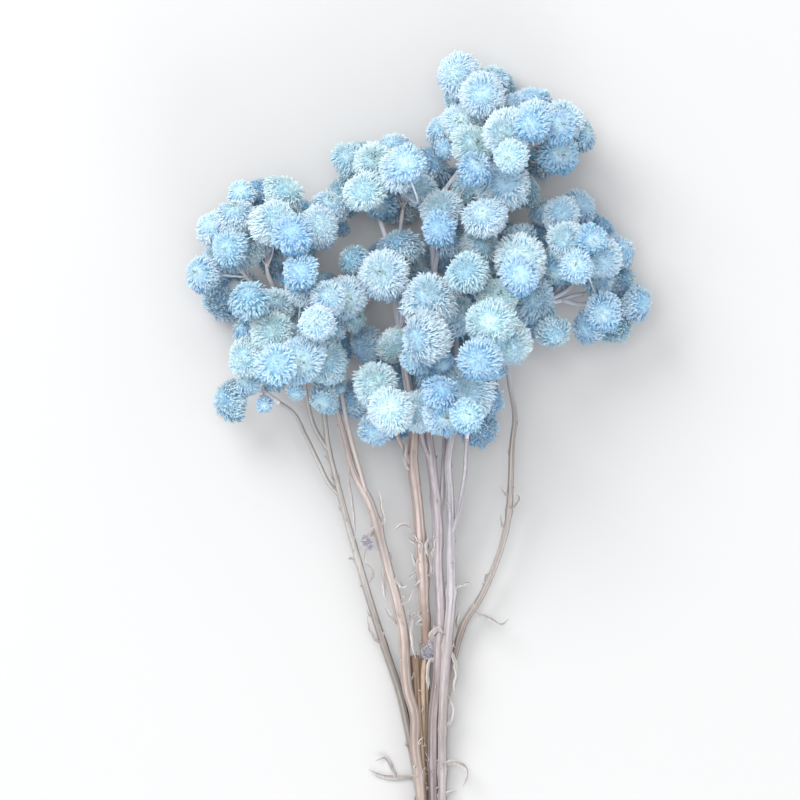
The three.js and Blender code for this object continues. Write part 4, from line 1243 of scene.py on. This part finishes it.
# %% Heads, stalks and hubs
SPRAY_FINISHES = (dyed_bracts, pale_stalks)
BRACTS, STALKS = range(len(SPRAY_FINISHES))
LAYER_SHARE = (1.0, 0.72, 0.5, 0.4)  # the share of the bracts that a head of each layer gets
PAINTED_LAYER_SHADE = (0.0, 0.2, 0.5, 0.4)  # how much deeper a blue is painted as shade on its heads
SHADE_SPREAD = (0.6, 1.3)
FACE_TILT = 0.3
TINTS = (0.1, 0.9)
GREENS = (0.2, 0.5, 0.8, 1.0, 1.0)  # how strong the cream of the eye is, by chance
CORE_FRONT = 0.6  # the core is paler from here to its front
CORE_ALONG = (0.15, 0.5)
CORE_EYE = 0.8
CUP_ALONG = 0.8
STALK_FLARE = 1.5
STALK_STEP = 3.5
STALK_SIDES = 6
STALK_WAIST = 0.7  # a stalk's radius at its middle, as a share of its ends'
HUB_STEP = 1.5
HUB_SIDES = 8
HUB_TAPER = 0.8
HUB_CAP = 1.5  # a hub ends in a short blunt tip
HUB_TIP = 0.6
HUB_OVERLAP = 2.0  # how far back inside its branch a hub starts


def add_head(heap, bloom, chance):
    tint = chance.uniform(*TINTS)
    green = chance.choice(GREENS)
    shade = PAINTED_LAYER_SHADE[bloom["layer"]] * chance.uniform(*SHADE_SPREAD)
    share = LAYER_SHARE[bloom["layer"]]
    face = dict(bloom, axis=unit(bloom["axis"] + chance.normal(0, FACE_TILT, 3)))
    corners, marks = bracts_of(bloom["radius"], share, tint, green, chance)
    corners = placed(face, corners)
    kept = in_the_open(bloom, corners)
    corners = corners[kept]
    marks = {name: values[kept] for name, values in marks.items()}
    # painted shade, deeper on the far layers and on the side that faces down, carried by the mark
    # named ring
    ring = painted_shade_depth(bloom, corners, shade)
    heap.add(corners, bract_triangles(corners), BRACTS, ring=ring, **marks)
    corners, triangles = BALL
    front = eased((corners[:, 2] - CORE_FRONT) / (1 - CORE_FRONT))
    along, eye = between(CORE_ALONG, front), green * CORE_EYE * front
    corners = placed(face, corners * bloom["radius"] * CORE_SHARE * (1, 1, FLATTEN))
    # the core gets the same painted shade
    ring = painted_shade_depth(bloom, corners, shade)
    heap.add(corners, triangles, BRACTS, ring=ring, along=along, tint=tint, eye=eye)
    corners, triangles = cup_of(bloom["radius"])
    heap.add(placed(bloom, corners), triangles, STALKS, along=CUP_ALONG)


def add_stalk(heap, bloom):
    points = smooth_path(bloom["stalk"], STALK_STEP)
    share = shares_along(points)
    swell = between((STALK_WAIST, 1.0), np.abs(2 * share - 1) ** STALK_FLARE)
    corners, triangles = tube(points, STALK_RADIUS * swell, STALK_SIDES)
    heap.add(corners, triangles, STALKS, along=np.repeat(1 - share, STALK_SIDES))


def add_hub(heap, hub):
    start, bend, end = hub["points"]
    back = start - unit(bend - start) * HUB_OVERLAP
    tip = end + hub["turned"] * HUB_CAP
    points = smooth_path([back, bend, end, tip], HUB_STEP)
    radii = HUB_RADIUS * between((1.0, HUB_TAPER), shares_along(points))
    radii[-1] *= HUB_TIP
    heap.add(*tube(points, radii, HUB_SIDES), STALKS)


print("finishes of a spray:", ", ".join(finish.name for finish in SPRAY_FINISHES))

# %% [markdown]
# Now each spray becomes one piece. It stands for the spray's solid and rides on the one body of the
# part.

# %% Every spray as a piece
def triangles_in(pieces):
    return sum(len(piece.data.polygons) for piece in pieces)


spray_pieces = []
for number, hub in enumerate(hubs):
    chance = np.random.default_rng([SEED, number])
    heap = Heap()
    add_hub(heap, hub)
    for bloom in [one for one in blooms if one["spray"] == hub["spray"]]:
        add_stalk(heap, bloom)
        add_head(heap, bloom, chance)
    piece = heap.as_object("blooms_" + hub["spray"], SPRAY_FINISHES, smooth=(STALKS,))
    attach(piece, "root")
    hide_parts("spray_" + hub["spray"])
    spray_pieces.append(piece)
print("sprays:", len(spray_pieces), "triangles:", triangles_in(spray_pieces))

# %% [markdown]
# Nothing on a dried plant is quite straight or even. Two kinds of chance say so: a slow run of
# values along a path, and a grain that changes fast round a stem and slowly along it.

# %% Slow runs and grain
GRAIN_RUN = 12  # the rings over which the grain changes
GRAIN_END = 1.001  # keeps the last ring just short of the last value
RUN_SPREAD = 0.6


def wandering(chance, count, smoothing):
    """A smooth random run of values, most of them between -1 and 1."""
    coarse = chance.normal(0, RUN_SPREAD, count // smoothing + 3)
    places = np.linspace(0, len(coarse) - 1, count)
    return np.interp(places, np.arange(len(coarse)), coarse)


def grained(chance, rings, sides):
    """A value from 0 to 1 for each corner of a tube."""
    coarse = chance.uniform(0, 1, (rings // GRAIN_RUN + 2, sides))
    place = np.linspace(0, len(coarse) - GRAIN_END, rings)
    low = place.astype(int)
    share = (place - low)[:, None]
    return coarse[low] * (1 - share) + coarse[low + 1] * share


print("a slow run:", wandering(np.random.default_rng(1), 4, 2).round(2))

# %% [markdown]
# A dry stem is not a pipe. It shrank as it dried, so slight ribs stand out on it, and it is thicker
# at the knots where leaves and branches left it. A displaced texture could fake the ribs, but at
# the outline of the stem they have to be real, so the radius goes up and down round each ring. The
# marks colour it: streaks in the grooves, brown at the foot, and some dye close to the blooms.

# %% Ribbed stems
BARK, LEAF, BUD, SHEATH = range(4)
SWELL = {"stem_centre_right": 1.18, "stem_right_inner": 1.15}  # the dry bark over the pith
STEM_STEP = 3.0
SPINE_SIDES = 20
BRANCH_SIDES = 10
RIBS = 7
RIB_DEPTH = 0.025
FINE_RIBS = 0.3  # the fine ribs between them, as a share of that depth
KNOT_HEIGHT = 0.1  # how much thicker a knot is, as a share of the radius
KNOT_LENGTH = 4.0
UNEVEN = 0.02  # how far the radius wanders, as a share of it
RIB_DRIFT = 0.08  # how far the ribs wander round the stem, in radians
GROOVE = (0.15, 0.2, 0.7)  # the streaks: everywhere, in the grooves, and by the grain
BROWN_SPREAD = 0.2
BROWN_FULL = 150  # the foot of the stems is brown up to here along the bunch
BROWN_GONE = 205  # and has lost it here
DYED_FROM = 300  # the dye of the blooms ran down the stems to here
DYED_FULL = 380


def ribbed_tube(path, sides, knots, chance):
    """A stem or branch with its ribs and knots: corners, triangles and marks."""
    points = smooth_path(path["points"], STEM_STEP)
    count = len(points)
    radius = value_along(path["radii"], shares_along(points)) * SWELL.get(path["stem"], 1.0)
    for knot in knots:
        away = np.linalg.norm(points - knot, axis=1)
        radius = radius * (1 + KNOT_HEIGHT * np.exp(-((away / KNOT_LENGTH) ** 2)))
    radius = radius * (1 + UNEVEN * wandering(chance, count, smoothing=12))
    turn = 2 * np.pi * np.arange(sides) / sides
    drift = RIB_DRIFT * wandering(chance, count, smoothing=20)
    rib = np.cos(RIBS * (turn[None] + drift[:, None]))
    fine = np.cos((2 * RIBS + 1) * turn[None] + chance.uniform(0, 6))
    form = 1 + RIB_DEPTH * rib + FINE_RIBS * RIB_DEPTH * fine
    corners, triangles = tube(points, radius[:, None] * form, sides)
    everywhere, in_grooves, by_grain = GROOVE
    streaks = everywhere - in_grooves * rib + by_grain * grained(chance, count, sides)
    brown = 1 - eased((points[:, 1] - BROWN_FULL) / (BROWN_GONE - BROWN_FULL))
    brown = brown * (1 - BROWN_SPREAD + BROWN_SPREAD * wandering(chance, count, smoothing=6))
    dyed = eased((points[:, 1] - DYED_FROM) / (DYED_FULL - DYED_FROM))
    return corners, triangles, {
        "ring": np.clip(streaks, 0, 1).ravel(),
        "tint": np.repeat(np.clip(brown, 0, 1), sides),
        "along": np.repeat(dyed, sides),
    }


sample = ribbed_tube(paths[0], SPINE_SIDES, [], np.random.default_rng(1))
print("a spine has", len(sample[1]), "triangles")

# %% [markdown]
# A dry leaf is a thin strip that curled across its width and twisted along its length. It is drawn
# as a closed strip: four corners across its upper face and four across its lower one, a quarter of
# a millimetre below. Its middle line wavers a little too.

# %% Curled leaves
LEAF_STEP = 1.4
LEAF_ACROSS = 4
LEAF_THIN = 0.25
LEAF_NARROW = 0.5
LEAF_SWELL = (0.15, 0.9)  # the stretch of a sine that its width follows
LEAF_UNEVEN = 0.2  # how far its width wanders, as a share of it
LEAF_POINT = 0.2  # it narrows over this last share of its length
LEAF_LEAST = 0.15
LEAF_CURL = 0.7  # how deep its channel is, as a share of its half width
CURL_UNEVEN = 0.4
LEAF_TWIST = (0.8, 2.6)  # how far it turns from one end to the other, in radians
LEAF_FLAT = 0.2  # where along it the twist is nought
LEAF_WAVER = 0.8
FOLD_TONE = (0.1, 0.85)  # how dark its edges and its fold are


def leaf_strip(line, width, chance):
    """A curled leaf along a line: corners, triangles and marks."""
    points = smooth_path(line, LEAF_STEP)
    count = len(points)
    share = shares_along(points)
    _, across, over = frames_along(points)
    wave = LEAF_WAVER * np.sin(np.pi * share) * wandering(chance, count, smoothing=3)
    points = points + across * wave[:, None]
    twist = (chance.uniform(*LEAF_TWIST) * (share - LEAF_FLAT) * chance.choice([-1, 1]))[:, None]
    wide = across * np.cos(twist) + over * np.sin(twist)
    deep = over * np.cos(twist) - across * np.sin(twist)
    swell = between((LEAF_NARROW, 1.0), np.sin(np.pi * between(LEAF_SWELL, share)))
    half = width / 2 * swell * (1 + LEAF_UNEVEN * wandering(chance, count, smoothing=2))
    half = np.maximum(half * np.clip((1 - share) / LEAF_POINT, 0, 1), LEAF_LEAST)
    place = np.linspace(-1, 1, LEAF_ACROSS)
    curl = LEAF_CURL * (1 + CURL_UNEVEN * wandering(chance, count, smoothing=3))
    rise = (curl * half)[:, None] * (place**2)[None]
    upper = points[:, None] + wide[:, None] * (half[:, None] * place)[..., None]
    upper = upper + deep[:, None] * rise[..., None]
    lower = upper - deep[:, None] * LEAF_THIN
    rings = np.concatenate([lower, upper[:, ::-1]], axis=1)
    fold = np.tile(1 - np.abs(place), 2 * count)
    return rings.reshape(-1, 3), skin(count, 2 * LEAF_ACROSS), {"ring": between(FOLD_TONE, fold)}


trial_leaf = [lying(p) for p in LEAVES["stem_left"][0][1]]
print("a leaf has", len(leaf_strip(trial_leaf, 2.0, np.random.default_rng(1))[1]), "triangles")

# %% [markdown]
# Scraps of dry leaf and loose fibres still cling to the stems. Most of them stand along the stem,
# and where a whorl of leaves fell off they make a frayed collar round it. They are short strips of
# the same kind, set by chance. They roughen the outline as on the real stems, which a bump map
# can't do.

# %% Scraps and frayed collars
SCRAPS_PER_STEM = 20
SCRAP_FOOT = 12  # none on the first twelfth of a stem
SCRAP_LENGTH = (3.0, 9.0)
SCRAP_WIDTH = (0.9, 2.1)
FIBRE_LENGTH = (3.0, 7.5)
FIBRE_WIDTH = (0.4, 1.1)
SCRAP_SUNK = 0.8  # where its foot lies, as a share of the stem's radius
SCRAP_OFF = (0.1, 0.4)  # how far its middle stands off, as a share of its length
SCRAP_ON = (-0.3, 0.5)  # how far its tip goes on along the stem
SCRAP_OUT = (0.1, 0.5)
SCRAP_STRAY = 0.8
COLLARS = {  # the height along the bunch of each collar, its fibres and its length
    "stem_centre_left": [(59, 12, 3), (236, 8, 3)],
    "stem_centre": [(149, 44, 7), (196, 14, 6), (210, 10, 5), (80, 8, 4)],
    "stem_centre_right": [(157, 22, 5), (66, 8, 3), (254, 8, 4)],
    "stem_right_inner": [(62, 20, 3), (150, 10, 5), (190, 8, 4)],
    "stem_right_outer": [(119, 14, 9), (247, 5, 2)],
    "cut_stub": [(141, 16, 2), (60, 8, 8)],
}


def scrap_line(points, radii, at, length, chance):
    """The middle line of one scrap that stands off a stem at one of its points."""
    ahead = unit(points[at + 1] - points[at])
    side = unit(np.cross(ahead, chance.normal(size=3)))
    foot = points[at] + side * radii[at] * SCRAP_SUNK
    middle = foot + ahead * length * 0.5 + side * length * chance.uniform(*SCRAP_OFF)
    turned = unit(side + SCRAP_STRAY * chance.normal(size=3))
    on, out = chance.uniform(*SCRAP_ON), chance.uniform(*SCRAP_OUT)
    return [foot, middle, middle + ahead * length * on + turned * length * out]


def scraps_of(stem, points, radii, chance):
    """Every scrap and fibre of a stem, as widths and lines."""
    found = []
    for _ in range(SCRAPS_PER_STEM):
        at = chance.integers(len(points) // SCRAP_FOOT, len(points) - 3)
        line = scrap_line(points, radii, at, chance.uniform(*SCRAP_LENGTH), chance)
        found.append((chance.uniform(*SCRAP_WIDTH), line))
    for height, count, spread in COLLARS.get(stem, ()):
        for _ in range(count):
            along = height + spread * chance.uniform(-0.5, 0.5)
            at = min(int(np.argmin(np.abs(points[:, 1] - along))), len(points) - 2)
            line = scrap_line(points, radii, at, chance.uniform(*FIBRE_LENGTH), chance)
            found.append((chance.uniform(*FIBRE_WIDTH), line))
    return found


print("collars:", sum(len(collars) for collars in COLLARS.values()))

# %% [markdown]
# More dry leaves hang round the middle of the bunch than its solids carry. Each is a width and a
# run of points across and along the bunch, and its height follows the stem that it hangs on. A few
# blooms dried up as buds there, small, closed and grey.

# %% Extra leaves and buds
HANGING = {
    "stem_left": [
        (2.0, [(-43, 196.4), (-40.8, 199.2), (-40.4, 206), (-44.1, 209.1), (-46.3, 204.7)]),
    ],
    "stem_centre_left": [
        (2.8, [(-25, 199), (-18.8, 193.7), (-15.5, 194.2)]),
        (3.0, [(-34, 203), (-31.5, 190.4), (-30.9, 181.6)]),
        (2.8, [(-23.8, 167.3), (-28.2, 172.8), (-32.6, 179.4)]),
        (3.2, [(-13, 170), (-12.3, 158), (-10, 143)]),
        (2.2, [(-35.5, 232), (-38, 236), (-42, 231), (-44.8, 226)]),
        (2.0, [(-44.8, 225), (-45.6, 215), (-46.8, 208)]),
    ],
    "stem_centre": [
        (3.2, [
            (-4, 204.7), (-7.3, 209.1), (-6.7, 215.7), (-6.2, 222.3), (-10, 226.7), (-11.7, 231.1),
        ]),
        (3.0, [(2, 203), (1.5, 208), (0.4, 215.7), (2.1, 221.2), (3.2, 225.6), (7, 228.9)]),
        (3.2, [(0, 204), (6, 201.4), (9.2, 197)]),
        (3.2, [(-3, 203.6), (-7.3, 199.3), (-8.9, 195.9), (-11.7, 193.7)]),
        (2.8, [(-3, 166), (-8.1, 167), (-4.6, 170), (-8, 174), (-6, 177)]),
        (3.0, [(0, 152), (7, 159.8), (13.6, 156.3), (18, 149.6)]),
        (2.5, [(2, 150), (8, 153), (14, 160), (16, 168)]),
    ],
}
BUDS = {  # the place of each and its radius
    "stem_centre_left": [((-44.6, 225.6), 4.5), ((-42.2, 221.5), 3.0)],
    "stem_centre": [((-1.0, 146.5), 5.6), ((4.5, 150), 4.6), ((9.5, 153), 3.8), ((2, 154), 3.6)],
}
LEAF_RISE = 0.8  # how high over the middle line of its stem a leaf starts, in the stem's radii
TIP_RISE = 2.5  # and how much higher its tip ends, in millimetres
BUD_CORE_TONE = 0.8


def hung(spine, radii, place, rise):
    """A place across and along the bunch, as high as the stem there and a little more."""
    at = int(np.argmin(np.abs(spine[:, 1] - place[1])))
    return np.array([*place, spine[at, 2] + LEAF_RISE * radii[at] + rise])


def hanging_leaves(stem, spine, radii):
    found = []
    for width, places in HANGING.get(stem, ()):
        rises = np.linspace(0, TIP_RISE, len(places))
        line = [hung(spine, radii, place, rise) for place, rise in zip(places, rises)]
        found.append((width, line))
    return found


def add_bud(heap, middle, radius, chance):
    corners, marks = bracts_of(radius, 1.0, 0.5, 0.0, chance)
    heap.add(corners + middle, bract_triangles(corners), BUD, ring=1 - marks["along"])
    corners, triangles = BALL
    heap.add(corners * radius * CORE_SHARE + middle, triangles, BUD, ring=BUD_CORE_TONE)


print("extra leaves:", sum(map(len, HANGING.values())), "buds:", sum(map(len, BUDS.values())))

# %% [markdown]
# Each stem becomes one piece: its spine, its branches, its leaves, scraps and buds. A collar swells
# the stem as much as two knots, because several leaves left it there. The middle stem grows out of
# an older, browner one that was cut off low, so its foot gets a sheath of that bark.

# %% Every stem as a piece
KNOT_PULL = 2
SHEATHS = {"stem_centre": (143.5, 1.3)}  # how far along the bunch it reaches, and its swell


def add_sheath(heap, stem, spine, radii, chance):
    top, swell = SHEATHS[stem]
    low = spine[:, 1] < top
    path = {"stem": stem, "points": spine[low], "radii": swell * radii[low]}
    corners, triangles, marks = ribbed_tube(path, SPINE_SIDES, [], chance)
    heap.add(corners, triangles, SHEATH, **dict(marks, tint=0.0))


stem_pieces = []
for number, stem in enumerate(STEMS):
    chance = np.random.default_rng([SEED + 1, number])
    own = [path for path in paths if path["stem"] == stem]
    spine = smooth_path(own[0]["points"], STEM_STEP)
    radii = value_along(own[0]["radii"], np.linspace(0, 1, len(spine)))
    leaves = [(width, [lying(p) for p in line]) for width, line in LEAVES.get(stem, ())]
    knots = [line[0] for _, line in leaves] + [path["points"][0] for path in own[1:]]
    for height, _, _ in COLLARS.get(stem, ()):
        knots += [spine[np.argmin(np.abs(spine[:, 1] - height))]] * KNOT_PULL
    heap = Heap()
    for order, path in enumerate(own):
        sides = SPINE_SIDES if order == 0 else BRANCH_SIDES
        corners, triangles, marks = ribbed_tube(path, sides, knots, chance)
        heap.add(corners, triangles, BARK, **marks)
    if stem in SHEATHS:
        add_sheath(heap, stem, spine, radii, chance)
    leaves += hanging_leaves(stem, spine, radii) + scraps_of(stem, spine, radii, chance)
    for width, line in leaves:
        corners, triangles, marks = leaf_strip(line, width, chance)
        heap.add(corners, triangles, LEAF, **marks)
    for place, radius in BUDS.get(stem, ()):
        add_bud(heap, hung(spine, radii, place, 0), radius, chance)
    finishes = (barks[stem], dry_leaf, dried_bud, barks["cut_stub"])
    piece = heap.as_object("dry_" + stem, finishes, smooth=(BARK, LEAF, SHEATH))
    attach(piece, "root")
    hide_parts(stem)
    stem_pieces.append(piece)
print("stems:", len(stem_pieces), "triangles:", triangles_in(stem_pieces))

# %% [markdown]
# The photograph was taken from the front in front of a pale wall. Here the bunch lies down, so the
# camera hangs above it and looks straight down on a pale floor. It hangs far up with a long lens,
# which keeps the near blooms from looking bigger than the far ones.

# %% Floor
FLOOR_SIZE = 12.0
FLOOR_BELOW = 0.0003  # so that the floor and the flat underside don't flicker through each other
floor_mesh = bpy.data.meshes.new("pale_floor")
half = FLOOR_SIZE / 2
corners = [(-half, -half, 0), (half, -half, 0), (half, half, 0), (-half, half, 0)]
floor_mesh.from_pydata(corners, [], [(0, 1, 2, 3)])
floor = bpy.data.objects.new("pale_floor", floor_mesh)
floor.location.z = -FLOOR_BELOW
bpy.context.scene.collection.objects.link(floor)
floor_paint, _, floor_inputs = new_finish("pale_floor_paint", roughness=0.9)
floor_inputs["Base Color"].default_value = colour(188, 188, 188)
floor_inputs["Specular IOR Level"].default_value = 0.1
floor_mesh.materials.append(floor_paint)
print("floor:", FLOOR_SIZE, "m wide")

# %% Camera
PHOTO_PIXELS = 800
MM_PER_PIXEL = 0.7
PHOTO_MIDDLE = (-0.021, 0.325)  # what the middle of the photograph shows, in metres
CAMERA_HEIGHT = 5.0
BLOOM_LEVEL = 0.075  # the height at which the framing is exact
camera_data = bpy.data.cameras.new("camera")
camera = bpy.data.objects.new("camera", camera_data)
camera.location = (*PHOTO_MIDDLE, BLOOM_LEVEL + CAMERA_HEIGHT)
camera_data.sensor_width = 36.0
camera_data.lens = camera_data.sensor_width * CAMERA_HEIGHT / (PHOTO_PIXELS * MM_PER_PIXEL * MM)
camera_data.clip_end = 40.0
bpy.context.scene.collection.objects.link(camera)
bpy.context.scene.camera = camera
print("lens, mm:", round(camera_data.lens))

# %% [markdown]
# The light of the photograph is soft and comes from the upper left, with plenty of fill. A large
# soft lamp at the upper left does the first. A wide one overhead and a pale sky all round keep the
# floor light, and a weak one from the side of the cut ends opens the shadows under the flowers.

# %% Lights
TARGET = np.array([-0.02, 0.40, 0.08])
LAMPS = {  # the place of each and its size in metres, and its power in watts
    "key_lamp": ((-1.5, 2.1, 2.6), 1.8, 88),
    "overhead_lamp": ((-0.4, 0.8, 6.0), 2.5, 155),
    "fill_lamp": ((0.9, -1.9, 1.5), 1.6, 30),
}
SKY_STRENGTH = 0.95

for name, (at, size, watts) in LAMPS.items():
    light = bpy.data.lights.new(name, "AREA")
    light.size = size
    light.energy = watts
    lamp = bpy.data.objects.new(name, light)
    lamp.location = at
    lamp.rotation_euler = Vector(TARGET - np.array(at)).to_track_quat("-Z", "Y").to_euler()
    bpy.context.scene.collection.objects.link(lamp)
world = bpy.data.worlds.new("pale_sky")
world.use_nodes = True
sky = world.node_tree.nodes["Background"]
sky.inputs["Color"].default_value = colour(246, 247, 249)
sky.inputs["Strength"].default_value = SKY_STRENGTH
bpy.context.scene.world = world
bpy.context.scene.view_settings.view_transform = "Standard"
print("lamps:", ", ".join(LAMPS))
